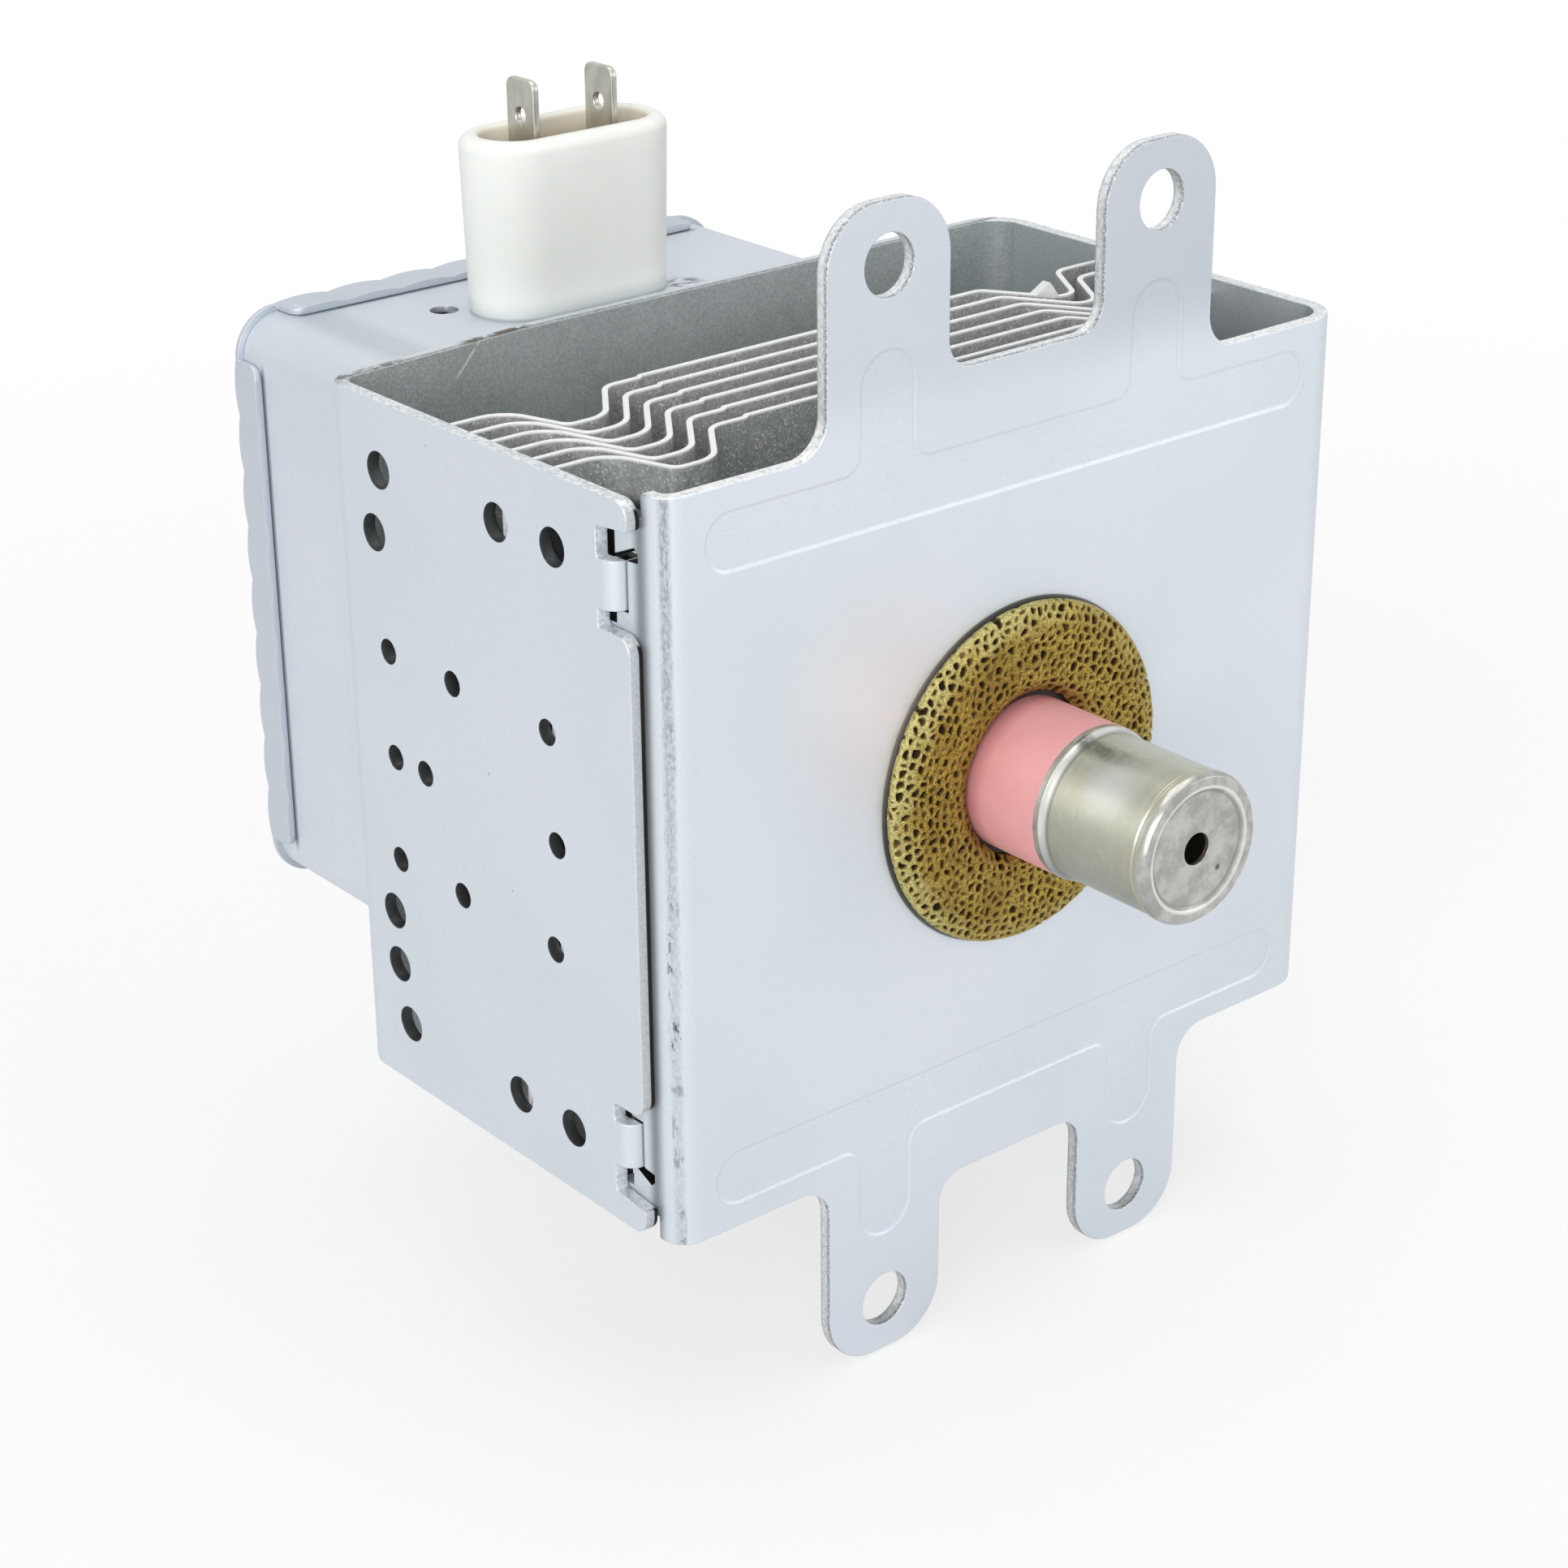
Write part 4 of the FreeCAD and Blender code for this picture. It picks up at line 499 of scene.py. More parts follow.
def fin_aluminium():
    """Rolled aluminium with painted glints; the band at the top edge is painted near white, as its torn burr
    and as painted highlight.
    """
    f = Finish("fin_aluminium")
    mottle = f.grain(2.6, 4.0, 0.65)
    mask = f.step(mottle, 0.35, 0.65)
    colour = f.mix((0.52, 0.535, 0.53), (0.72, 0.735, 0.73), mask)
    # Painted glints: near-white specks on the faces.
    glint = f.step(f.cells(2.6), 0.32, 0.16) * f.step(f.grain(0.8, 2.0, 0.5), 0.32, 0.52)
    colour = f.mix(colour, (0.99, 0.99, 0.95), glint)
    x, y, z = f.axes()
    # Painted shade: the fins seen through the left wall's slots are near black.
    shade_behind_slots = f.step(x, -34.0, -36.0) * f.step(y, 22.0, 19.0) * f.step(z, 34.0, 32.5)
    colour = f.mix(colour, (0.02, 0.02, 0.02), shade_behind_slots * 0.9)
    # The band at the top edge is painted near white: its torn burr, and painted highlight.
    torn = f.step(z, FIN_TOP, FIN_TOP + 0.14)
    colour = f.mix(colour, (0.96, 0.96, 0.94), torn)
    return f.done(Base_Color=colour, Metallic=0.65 - torn * 0.4 - glint * 0.4, Roughness=0.38 + mask * 0.08,
                  Normal=f.bump(mottle, 0.02, 0.5))


fin_face = fin_aluminium()
# The fins' cut edges are bright metal, painted near white as highlight.
fin_edge_highlight = metal("fin_cut_edge_highlight", (0.90, 0.91, 0.91), (0.98, 0.98, 0.98), 2.0, 0.34, 0.25, 0.02)
copper = metal("copper", (0.70, 0.32, 0.20), (0.86, 0.46, 0.30), 0.6, 0.28)
strap_metal = metal("strap_metal", (0.60, 0.52, 0.42), (0.75, 0.68, 0.58), 1.0, 0.30)
pole_iron = metal("pole_iron", (0.40, 0.40, 0.41), (0.52, 0.52, 0.53), 0.8, 0.35)
seal_steel = metal("seal_steel", (0.48, 0.46, 0.43), (0.62, 0.60, 0.56), 0.7, 0.30)
neck_shade = metal("neck_painted_shade", (0.020, 0.016, 0.014), (0.045, 0.036, 0.030), 0.9, 0.55, 0.3)
cathode_metal = metal("cathode_metal", (0.30, 0.30, 0.32), (0.42, 0.42, 0.44), 2.0, 0.40)
plating = metal("terminal_plating", (0.53, 0.52, 0.465), (0.64, 0.63, 0.57), 0.7, 0.30, 0.9, 0.01,
                (1, 1, 0.5))
# The box's cut edges are painted dark grey, as shade.
box_edge_shade = metal("box_edge_painted_shade", (0.30, 0.31, 0.33), (0.46, 0.48, 0.50), 2.0, 0.42, 0.6)
rivet_steel = metal("rivet_steel", (0.50, 0.52, 0.55), (0.64, 0.66, 0.69), 1.5, 0.34)
print("plain metals: 11 finishes")


# %% [markdown]
# ## Hidden ferrite, resin and wire
# Magnets and choke rods are pressed and fired ferrite, nearly black and matt. The capacitor is cast in blue
# resin, and the stem is white ceramic. The chokes are wound with varnished wire, turn beside turn, so a wave
# along the rod gives both the dark lines between the turns and their ridges.

# %% Hidden ferrite, resin and wire
def dull(name, dark, light, per_mm, roughness, depth=0.02):
    """A matt stuff mottled between two colours."""
    f = Finish(name)
    mottle = f.grain(per_mm, 5.0, 0.65)
    mask = f.step(mottle, 0.35, 0.65)
    return f.done(Base_Color=f.mix(dark, light, mask), Roughness=roughness + mask * 0.1,
                  Normal=f.bump(mottle, depth, 0.5))


magnet_ferrite = dull("magnet_ferrite", (0.035, 0.035, 0.038), (0.075, 0.075, 0.08), 1.2, 0.5)
choke_ferrite = dull("choke_ferrite", (0.05, 0.045, 0.045), (0.09, 0.085, 0.08), 1.5, 0.5)
resin = dull("capacitor_resin", (0.04, 0.09, 0.16), (0.06, 0.13, 0.22), 0.8, 0.35)
stem_white = dull("stem_ceramic", (0.78, 0.76, 0.70), (0.86, 0.84, 0.79), 1.0, 0.3)


def enamelled_wire():
    """Close turns of varnished copper wire, as fine ridges along the choke."""
    f = Finish("enamelled_wire")
    turns = f.node("ShaderNodeTexWave", {"bands_direction": "Z"},
                   {"Vector": f.mm, "Scale": 0.262, "Distortion": 0.0})
    colour = f.mix((0.16, 0.05, 0.02), (0.55, 0.20, 0.08), f.step(turns, 0.1, 0.7))
    return f.done(Base_Color=colour, Metallic=0.6, Roughness=0.3 + turns * 0.05,
                  Normal=f.bump(turns, 0.4, 1.0))


winding = enamelled_wire()
print("hidden pieces: 5 finishes")


# %% [markdown]
# ## Ceramic and shroud
# The antenna's ceramic is dyed pink and ground satin, and a little light passes through its skin; near the
# ring it is painted darker as shade. The shroud is moulded in ivory plastic. Its mouth is painted beige at
# the rim and darker and browner downwards as shade, and a thin grey line lies round its foot.

# %% Pink ceramic and ivory moulding
CERAMIC_SPECK = (-7.0, -9.05, 5.1)
SHROUD_MIDDLE = (-10.3, 59.4)
SHROUD_HALF_STRAIGHT = 6.3
SHROUD_FOOT = 37.8


def pink_ceramic():
    f = Finish("pink_ceramic")
    powder = f.grain(5.0, 3.0, 0.6)
    cloud = f.grain(0.25, 2.0, 0.5)
    colour = f.mix((0.785, 0.36, 0.365), (0.82, 0.39, 0.39), f.step(cloud, 0.35, 0.65))
    colour = f.mix(colour, (0.88, 0.47, 0.46), f.step(powder, 0.5, 0.8) * 0.4)
    # Near the ring the ceramic is painted darker, as shade.
    colour = f.mix(colour, (0.52, 0.17, 0.18), f.step(f.axis("Y"), -3.6, -1.6) * 0.55)
    colour = f.mix(colour, (0.32, 0.25, 0.27), f.spot(CERAMIC_SPECK, 0.3))
    return f.done(Base_Color=colour, Roughness=0.42 + powder * 0.1, Normal=f.bump(powder, 0.01, 0.4),
                  Subsurface_Weight=0.08, Subsurface_Scale=0.002)


def ivory_moulding():
    f = Finish("ivory_moulding")
    skin = f.grain(3.0, 3.0, 0.6)
    cloud = f.grain(0.12, 2.0, 0.5)
    colour = f.mix((0.87, 0.89, 0.85), (0.90, 0.92, 0.885), f.step(cloud, 0.35, 0.65))
    # The mouth is painted beige at its rim and darker and browner downwards, as shade; past the ends of the
    # straight sides the distance is round.
    x, y, z = f.axes()
    past = f.larger(abs(x - SHROUD_MIDDLE[0]) - SHROUD_HALF_STRAIGHT, 0.0)
    aside = y - SHROUD_MIDDLE[1]
    inside = f.step(f.root(past * past + aside * aside), 4.5, 3.9)
    brown = f.mix((0.84, 0.80, 0.68), (0.46, 0.37, 0.24), f.step(z, 56.0, 52.4))
    colour = f.mix(colour, brown, inside * f.step(z, 56.6, 56.1))
    # A thin grey line lies round the foot.
    colour = f.mix(colour, (0.50, 0.51, 0.49), f.step(z, SHROUD_FOOT + 0.45, SHROUD_FOOT + 0.15) * 0.6)
    return f.done(Base_Color=colour, Roughness=0.40 + skin * 0.1, Normal=f.bump(skin, 0.012, 0.5),
                  Subsurface_Weight=0.1, Subsurface_Scale=0.003)


ceramic = pink_ceramic()
ivory = ivory_moulding()
print("ceramic and moulding: 2 finishes")


# %% [markdown]
# ## The brushed cap
# The cap is drawn from stainless sheet, and turned and brushed round its axis. Its fine lines come from a
# noise that is read by the radius and the length alone, so each line runs right round. Painted highlights
# and shade lie over them: a bright band at the lip with a dark crease, a bright ring and a dark ring on the
# end, a dark streak with a shine beside it and shade at the lower end. A small nick lies on the end too.

# %% Brushed cap
CAP_LIP_Y = 10.9
CAP_END_Y = -24.4
CAP_RING_R = 6.35
CAP_GROOVE_R = 5.9
LINES_PER_MM = 14.0
STREAK_X = -2.2
SHINE_AT = (-5.0, -18.0, 5.5)
NICK_AT = (3.0, -24.6, -2.8)


def brushed_cap():
    """Stainless steel with lines round the cap's axis."""
    f = Finish("cap_steel")
    x, y, z = f.axes()
    radius = f.root(x * x + z * z)
    along = f.node("ShaderNodeCombineXYZ", {}, {"X": y * LINES_PER_MM, "Y": radius * LINES_PER_MM})
    lines = f.node("ShaderNodeTexNoise", {}, {"Vector": along, "Scale": 1.0, "Detail": 3.0})
    mottle = f.grain(0.9, 3.0, 0.6)
    colour = f.mix((0.48, 0.465, 0.36), (0.525, 0.51, 0.40), f.step(lines, 0.3, 0.7))
    colour = f.mix(colour, (0.62, 0.605, 0.51), f.step(mottle, 0.45, 0.75) * 0.4)
    # The rolled lip at the back and the bead round the end get painted highlights, and a painted shade line
    # marks the lip's crease.
    lip = f.step(y, -CAP_LIP_Y - 0.95, -CAP_LIP_Y - 0.7)
    crease = f.step(abs(y + CAP_LIP_Y + 1.1), 0.25, 0.08)
    colour = f.mix(colour, (0.82, 0.82, 0.77), lip * 0.85)
    colour = f.mix(colour, (0.28, 0.275, 0.24), crease * 0.6)
    # The end disc has dulled in cloudy patches inside two fine rings: a painted highlight on the bead and
    # painted shade in a groove.
    end = f.step(y, CAP_END_Y + 0.3, CAP_END_Y)
    cloudy = f.step(f.grain(0.5, 4.0, 0.65), 0.35, 0.65)
    colour = f.mix(colour, f.mix((0.39, 0.39, 0.37), (0.57, 0.57, 0.54), cloudy), end)
    outer = f.step(abs(radius - CAP_RING_R), 0.24, 0.1) * end
    inner = f.step(abs(radius - CAP_GROOVE_R), 0.2, 0.08) * end
    colour = f.mix(colour, (0.26, 0.26, 0.24), inner * 0.6)
    colour = f.mix(colour, (0.88, 0.88, 0.84), outer * 0.7)
    # A dark streak is painted along the top as shade with a painted shine beside it, the lower end is painted
    # darker as shade, and the end carries one small dark nick.
    streak = f.step(abs(x - STREAK_X), 1.5, 0.4) * f.step(z, 4.5, 6.0) * f.step(y, -21.0, -14.0)
    colour = f.mix(colour, (0.17, 0.16, 0.125), streak * (0.4 + f.step(mottle, 0.3, 0.6) * 0.5))
    colour = f.mix(colour, (0.78, 0.775, 0.72), f.spot(SHINE_AT, 4.2, 0.2) * 0.55)
    under = f.step(z, 1.0, -6.5) * f.step(y, -24.0, -23.0)
    colour = f.mix(colour, (0.27, 0.26, 0.22), under * 0.6)
    colour = f.mix(colour, (0.12, 0.115, 0.11), f.spot(NICK_AT, 0.42) * 0.9)
    return f.done(Base_Color=colour, Metallic=0.88, Roughness=0.27 + f.step(lines, 0.3, 0.7) * 0.05,
                  Normal=f.bump(lines, 0.0015, 0.25))


cap_steel = brushed_cap()
print("cap: 1 finish")


# %% [markdown]
# ## Knitted brass
# The ring round the antenna is knitted from fine brass wire and pressed flat. Its colour follows an
# attribute of the mesh that says how deep in a stitch each point lies, so colour and shape agree: the
# openings are painted dark as shade. A fine net of cells between the stitches stands for the single wires.

# %% Knitted brass
def knitted_brass():
    """Brass with painted shade in its openings and at its foot, paler towards the rim, most on the left and
    top, and browner near the bore, where it is painted darker as shade.
    """
    f = Finish("mesh_brass")
    stitch = f.node("ShaderNodeAttribute", {"attribute_name": "stitch"}, out="Fac")
    x, z = f.axis("X"), f.axis("Z")
    radius = f.root(x * x + z * z)
    wander = f.node("ShaderNodeVectorMath", {"operation": "MULTIPLY_ADD"},
                    {0: f.node("ShaderNodeTexNoise", {}, {"Vector": f.mm, "Scale": 1.4}, out="Color"),
                     1: (0.7, 0.7, 0.7), 2: f.mm}, out="Vector")
    net = f.node("ShaderNodeTexVoronoi", {"feature": "DISTANCE_TO_EDGE"},
                 {"Vector": wander, "Scale": 2.3, "Randomness": 1.0})
    wire = f.step(net, 0.16, 0.03)
    grit = f.grain(6.0, 4.0, 0.75)
    veil = f.step(f.grain(0.28, 3.0, 0.6), 0.42, 0.66)
    warm = f.mix((0.13, 0.08, 0.010), (0.49, 0.355, 0.055), f.step(grit, 0.40, 0.60))
    warm = f.mix(warm, (0.72, 0.58, 0.15), wire * 0.35)
    warm = f.mix(warm, (0.20, 0.125, 0.02), veil * 0.5)
    paler = f.mix((0.26, 0.21, 0.05), (0.61, 0.53, 0.185), f.step(grit, 0.36, 0.60))
    paler = f.mix(paler, (0.84, 0.79, 0.40), wire * 0.5)
    rim = f.step(radius + f.grain(0.35, 3.0, 0.6) * 5.0, 17.0, 20.6)
    colour = f.mix(warm, paler, rim * (0.35 + f.step(x - z * 0.4, 2.0, -12.0) * 0.65))
    # Near the bore the brass is a warmer brown, and painted darker as shade where it dips into the bore.
    colour = f.mix(colour, (0.34, 0.17, 0.04), f.step(radius, 11.0, 8.8) * 0.45)
    # Painted shade: the deeper a point lies in an opening, the darker it is painted.
    colour = f.mix(colour, (0.12, 0.065, 0.010), f.step(stitch, 0.05, 0.38) * 0.9)
    colour = f.mix(colour, (0.020, 0.010, 0.004), f.step(stitch, 0.34, 0.72) * 0.95)
    # Painted shadow: the ring's foot against the plate is near black.
    colour = f.mix(colour, (0.012, 0.010, 0.008), f.step(f.axis("Y"), -0.4, -0.15) * 0.95)
    height = wire * 0.7 + grit * 0.6
    return f.done(Base_Color=colour, Metallic=0.72, Roughness=0.40 + grit * 0.15,
                  Normal=f.bump(height, 0.10, 0.7))


brass = knitted_brass()
print("knitted brass: 1 finish")


# %% [markdown]
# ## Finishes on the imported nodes
# The record names a finish for every node, so the same table paints them all.

# %% Paint the nodes
finish_of = {
    "coated_steel": steel, "fin_aluminium": fin_face, "magnet_ferrite": magnet_ferrite,
    "copper": copper, "strap_metal": strap_metal, "pole_iron": pole_iron, "seal_steel": seal_steel,
    "cap_steel": cap_steel, "pink_ceramic": ceramic, "stem_ceramic": stem_white,
    "cathode_metal": cathode_metal, "mesh_brass": brass, "shroud_plastic": ivory,
    "terminal_plating": plating, "capacitor_resin": resin, "choke_ferrite": choke_ferrite,
    "enamelled_wire": winding, "rivet_steel": rivet_steel,
}
slot_of = {}
for entry in frame["record"]["subparts"]:
    slot_of[entry["node"]] = entry["material_slot"]
for name, piece in nodes.items():
    piece.data.materials.clear()
    piece.data.materials.append(finish_of[slot_of[name]])
# The cup behind the ring is painted near black, as shade under the ring.
nodes["front_seal_cup"].data.materials[0] = neck_shade
print("painted", len(slot_of), "nodes")


# %% [markdown]
# ## Sheared and rolled edges
# No pressed sheet has a razor edge: the punch rolls one side and tears the other. Faces with more metal
# behind them than one sheet thickness are the cut edges, and take a finish of their own. A ray from each
# triangle into the metal measures that.

# %% Find the cut edges
PROBE_START = 0.002
PROBE_SHEETS = 1.4
SHEET_SHARE = 0.4


def mark_cut_edges(bm, sheet_mm):
    """Gives material 1 to the faces that have more than a sheet's thickness of metal behind them."""
    tree = BVHTree.FromBMesh(bm)
    thin = {}
    for loops in bm.calc_loop_triangles():
        face = loops[0].face
        a, b, c = (loop.vert.co for loop in loops)
        start = (a + b + c) / 3 - face.normal * PROBE_START * MM
        hit = tree.ray_cast(start, -face.normal, PROBE_SHEETS * sheet_mm * MM)
        size = (b - a).cross(c - a).length
        sheet, total = thin.get(face, (0, 0))
        thin[face] = (sheet + (size if hit[0] is not None else 0), total + size)
    for face, (sheet, total) in thin.items():
        face.material_index = 0 if sheet > SHEET_SHARE * total else 1
    return sum(face.material_index for face in bm.faces)


print("cut edges have more than", PROBE_SHEETS, "sheets of metal behind them")


# %% [markdown]
# ## Pressed ribs
# A press can't leave a knife-sharp rib. In the solids each rib has one narrow chamfer round it, so its two
# outlines are moved apart and one more line of points is laid between them. Smooth shading does the rest.

# %% Soften the ribs
RIB_DEPTH = 0.3
RIB_SPREAD = 0.12
RIB_STEP = 0.035
RIB_REACH = 40.0
RIB_SLOPE = (-0.8, -0.5)
HAIR = 0.001


def soften_ribs(bm):
    """Spreads the plain chamfer of each pressed rib over half a millimetre, as a press leaves it."""
    # The rib's outline starts with a tiny upright step, which is closed first.
    outline = [vert for vert in bm.verts if -HAIR < vert.co.y / MM < RIB_STEP
               and abs(vert.co.x) < RIB_REACH * MM]
    for vert in outline:
        vert.co.y = 0
    bmesh.ops.remove_doubles(bm, verts=outline, dist=HAIR * MM)
    bm.normal_update()
    slopes = [face for face in bm.faces if RIB_SLOPE[0] < face.normal.y < RIB_SLOPE[1]
              and all(-10 * HAIR < vert.co.y / MM < RIB_DEPTH + 10 * HAIR for vert in face.verts)]
    ways = {}
    for face in slopes:
        way = Vector((face.normal.x, 0, face.normal.z)).normalized()
        for vert in face.verts:
            ways.setdefault(vert, []).append(way)
    for vert, found in ways.items():
        way = sum(found, Vector()).normalized()
        vert.co += way * RIB_SPREAD * MM * (1 if vert.co.y > RIB_DEPTH / 2 * MM else -1)
    across = [edge for edge in bm.edges if edge.verts[0] in ways and edge.verts[1] in ways
              and abs(edge.verts[0].co.y - edge.verts[1].co.y) > RIB_DEPTH / 2 * MM]
    bmesh.ops.subdivide_edges(bm, edges=across, cuts=1, use_grid_fill=True)
    print("rib slopes:", len(slopes))


print("ribs are", RIB_DEPTH, "mm deep")


# %% [markdown]
# ## Dressed copies
# A copy of each visible sheet piece is merged, its flat faces are made whole again, and a small Bevel breaks
# every edge. Normals weighted by the size of the faces keep the flats flat.

# %% Dressed copies
MERGE = 0.0005
FLAT = math.radians(0.3)
SHARP = math.radians(38)
EVENNESS = 80


def make_piece(bm, name, finishes):
    """Turns a working mesh into an object of the scene."""
    mesh = bpy.data.meshes.new(name)
    bm.to_mesh(mesh)
    bm.free()
    for finish in finishes:
        mesh.materials.append(finish)
    piece = bpy.data.objects.new(name, mesh)
    bpy.context.scene.collection.objects.link(piece)
    return piece


def dress(node, name, sheet_mm, edge_mm, finishes, segments=2):
    """A finer copy of the node; a second finish goes on its cut edges."""
    bm = bmesh.new()
    bm.from_mesh(nodes[node].data)
    bmesh.ops.remove_doubles(bm, verts=bm.verts, dist=MERGE * MM)
    bmesh.ops.dissolve_limit(bm, angle_limit=FLAT, verts=bm.verts, edges=bm.edges)
    if node == "yoke":
        soften_ribs(bm)
    for face in bm.faces:
        face.smooth = True
        face.material_index = 0
    cut = mark_cut_edges(bm, sheet_mm) if len(finishes) > 1 else 0
    piece = make_piece(bm, name, finishes)
    mesh = piece.data
    for layer in ("custom_normal", "sharp_edge", "sharp_face"):
        if layer in mesh.attributes:
            mesh.attributes.remove(mesh.attributes[layer])
    bevel = piece.modifiers.new("broken edge", "BEVEL")
    bevel.width = edge_mm * MM
    bevel.segments = segments
    bevel.limit_method = "ANGLE"
    bevel.angle_limit = SHARP
    bevel.use_clamp_overlap = False
    # On small arcs a bevel that slides along their edges folds faces over. Only the fins keep it.
    bevel.loop_slide = node.startswith("cooling_fin")
    even = piece.modifiers.new("even normals", "WEIGHTED_NORMAL")
    even.weight = EVENNESS
    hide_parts(node)
    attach(piece, "root")
    print(name, len(mesh.polygons), "faces,", cut, "on the cut edge")


dress("yoke", "yoke_dressed", 1.5, 0.16, [steel, cut_steel])
dress("filter_box", "filter_box_dressed", 0.8, 0.12, [box_steel, box_edge_shade])
dress("filter_lid", "filter_lid_dressed", 0.6, 0.08, [lid_steel])
for index in range(1, 7):
    dress("cooling_fin_%d" % index, "cooling_fin_dressed_%d" % index, 0.6, 0.05, [fin_face, fin_edge_highlight])
for side in ("left", "right"):
    dress(side + "_terminal_tab", side + "_tab_dressed", 0.8, 0.2, [plating], 3)
dress("antenna_cap", "antenna_cap_dressed", 0.5, 0.06, [cap_steel], 3)


# %% [markdown]
# ## The moulded shroud
# The shroud is a tapered tube with round ends and a soft lip. Its outline at the foot is extruded level by
# level, up the outside, over the lip and down the cavity, which gives one smooth skin with an open mouth.

# %% Terminal shroud
SHROUD_RIM = 56.5
SHROUD_FOOT_R = 5.35
SHROUD_RIM_R = 5.75
SHROUD_BORE_R = 3.65
SHROUD_LIP_R = 1.3
SHROUD_INNER_LIP_R = 0.6
SHROUD_FLOOR = 41.0
ROUND_STEPS = 24
OUTER_LEVELS = 8
LIP_LEVELS = 6
INNER_LIP_LEVELS = 4


def racetrack_loop(bm, radius, height):
    """A closed loop of edges with two straight sides and two round ends."""
    verts = []
    for side in (1, -1):
        for i in range(ROUND_STEPS + 1):
            angle = side * math.pi / 2 - math.pi * i / ROUND_STEPS
            x = SHROUD_MIDDLE[0] + side * SHROUD_HALF_STRAIGHT + radius * math.cos(angle)
            y = SHROUD_MIDDLE[1] + radius * math.sin(angle)
            verts.append(bm.verts.new((x * MM, y * MM, height * MM)))
    return [bm.edges.new((a, b)) for a, b in zip(verts, verts[1:] + verts[:1])]


def shroud_levels():
    """Radius and height of each loop, from the foot outside to the floor of the cavity."""
    levels = []
    for i in range(OUTER_LEVELS + 1):
        share = i / OUTER_LEVELS
        height = SHROUD_FOOT + (SHROUD_RIM - SHROUD_LIP_R - SHROUD_FOOT) * share
        levels.append((SHROUD_FOOT_R + (SHROUD_RIM_R - SHROUD_FOOT_R) * share, height))
    for i in range(1, LIP_LEVELS + 1):
        angle = math.pi / 2 * i / LIP_LEVELS
        levels.append((SHROUD_RIM_R - SHROUD_LIP_R * (1 - math.cos(angle)),
                       SHROUD_RIM - SHROUD_LIP_R * (1 - math.sin(angle))))
    for i in range(INNER_LIP_LEVELS + 1):
        angle = math.pi / 2 * i / INNER_LIP_LEVELS
        levels.append((SHROUD_BORE_R + SHROUD_INNER_LIP_R * (1 - math.sin(angle)),
                       SHROUD_RIM - SHROUD_INNER_LIP_R * (1 - math.cos(angle))))
    return levels + [(SHROUD_BORE_R, SHROUD_FLOOR)]


def settle(vert, radius, height):
    """Puts a point of the loop at this distance from the racetrack's middle line, and at this height."""
    x = vert.co.x / MM - SHROUD_MIDDLE[0]
    along = max(-SHROUD_HALF_STRAIGHT, min(SHROUD_HALF_STRAIGHT, x))
    out = Vector((x - along, vert.co.y / MM - SHROUD_MIDDLE[1], 0)).normalized() * radius
    vert.co = Vector((SHROUD_MIDDLE[0] + along + out.x, SHROUD_MIDDLE[1] + out.y, height)) * MM


def moulded_shroud():
    """One skin from the foot over the lip to the cavity's floor, closed below by a face."""
    bm = bmesh.new()
    levels = shroud_levels()
    foot = racetrack_loop(bm, *levels[0])
    loop = foot
    for radius, height in levels[1:]:
        made = bmesh.ops.extrude_edge_only(bm, edges=loop)["geom"]
        fresh = {part for part in made if isinstance(part, bmesh.types.BMVert)}
        loop = [part for part in made if isinstance(part, bmesh.types.BMEdge)
                and part.verts[0] in fresh and part.verts[1] in fresh]
        for vert in fresh:
            settle(vert, radius, height)
    bmesh.ops.contextual_create(bm, geom=loop)
    bmesh.ops.contextual_create(bm, geom=foot)
    bmesh.ops.recalc_face_normals(bm, faces=bm.faces)
    for face in bm.faces:
        face.smooth = len(face.verts) < 5
    piece = make_piece(bm, "terminal_shroud_moulded", [ivory])
    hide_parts("terminal_shroud")
    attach(piece, "root")
    print("terminal_shroud_moulded:", len(piece.data.polygons), "faces")


moulded_shroud()


# %% [markdown]
# ## The knitted ring
# The real ring is a sock of knitted brass wire, rolled up and pressed flat, so its face is a loose net of
# drop-shaped openings in rows. First comes the plain form: a profile with a dished bore, a falling shoulder
# and a round rim, which is then spun round the antenna's axis.

# %% Profile of the ring
GASKET_INNER = 8.6
GASKET_OUTER = 18.0
GASKET_HEIGHT = 2.0
DISH_WIDTH = 1.6
DISH_DROP = 0.8
SHOULDER_START = 14.6
EDGE_ROUND = 0.75
SHOULDER_DROP = GASKET_HEIGHT - 2 * EDGE_ROUND
PROFILE_STEP = 0.13
NECK_R = 8.15
NECK_HEIGHT = 0.75
AROUND = 740


def gasket_profile():
    """Radius and height in millimetres from the bore over the crown to the back."""
    flat = GASKET_OUTER - EDGE_ROUND
    points = [(GASKET_INNER, NECK_HEIGHT)]
    count = round((flat - NECK_R) / PROFILE_STEP)
    for i in range(count + 1):
        radius = NECK_R + (flat - NECK_R) * i / count
        dish = max(0.0, 1 - (radius - NECK_R) / DISH_WIDTH) ** 2 * DISH_DROP
        fall = max(0.0, (radius - SHOULDER_START) / (flat - SHOULDER_START)) ** 2 * SHOULDER_DROP
        points.append((radius, GASKET_HEIGHT - dish - fall))
    turns = round(math.pi * EDGE_ROUND / PROFILE_STEP)
    for i in range(1, turns + 1):
        angle = math.pi / 2 - math.pi * i / turns
        points.append((flat + EDGE_ROUND * math.cos(angle), EDGE_ROUND * (1 + math.sin(angle))))
    return points + [(GASKET_INNER, 0.0)]


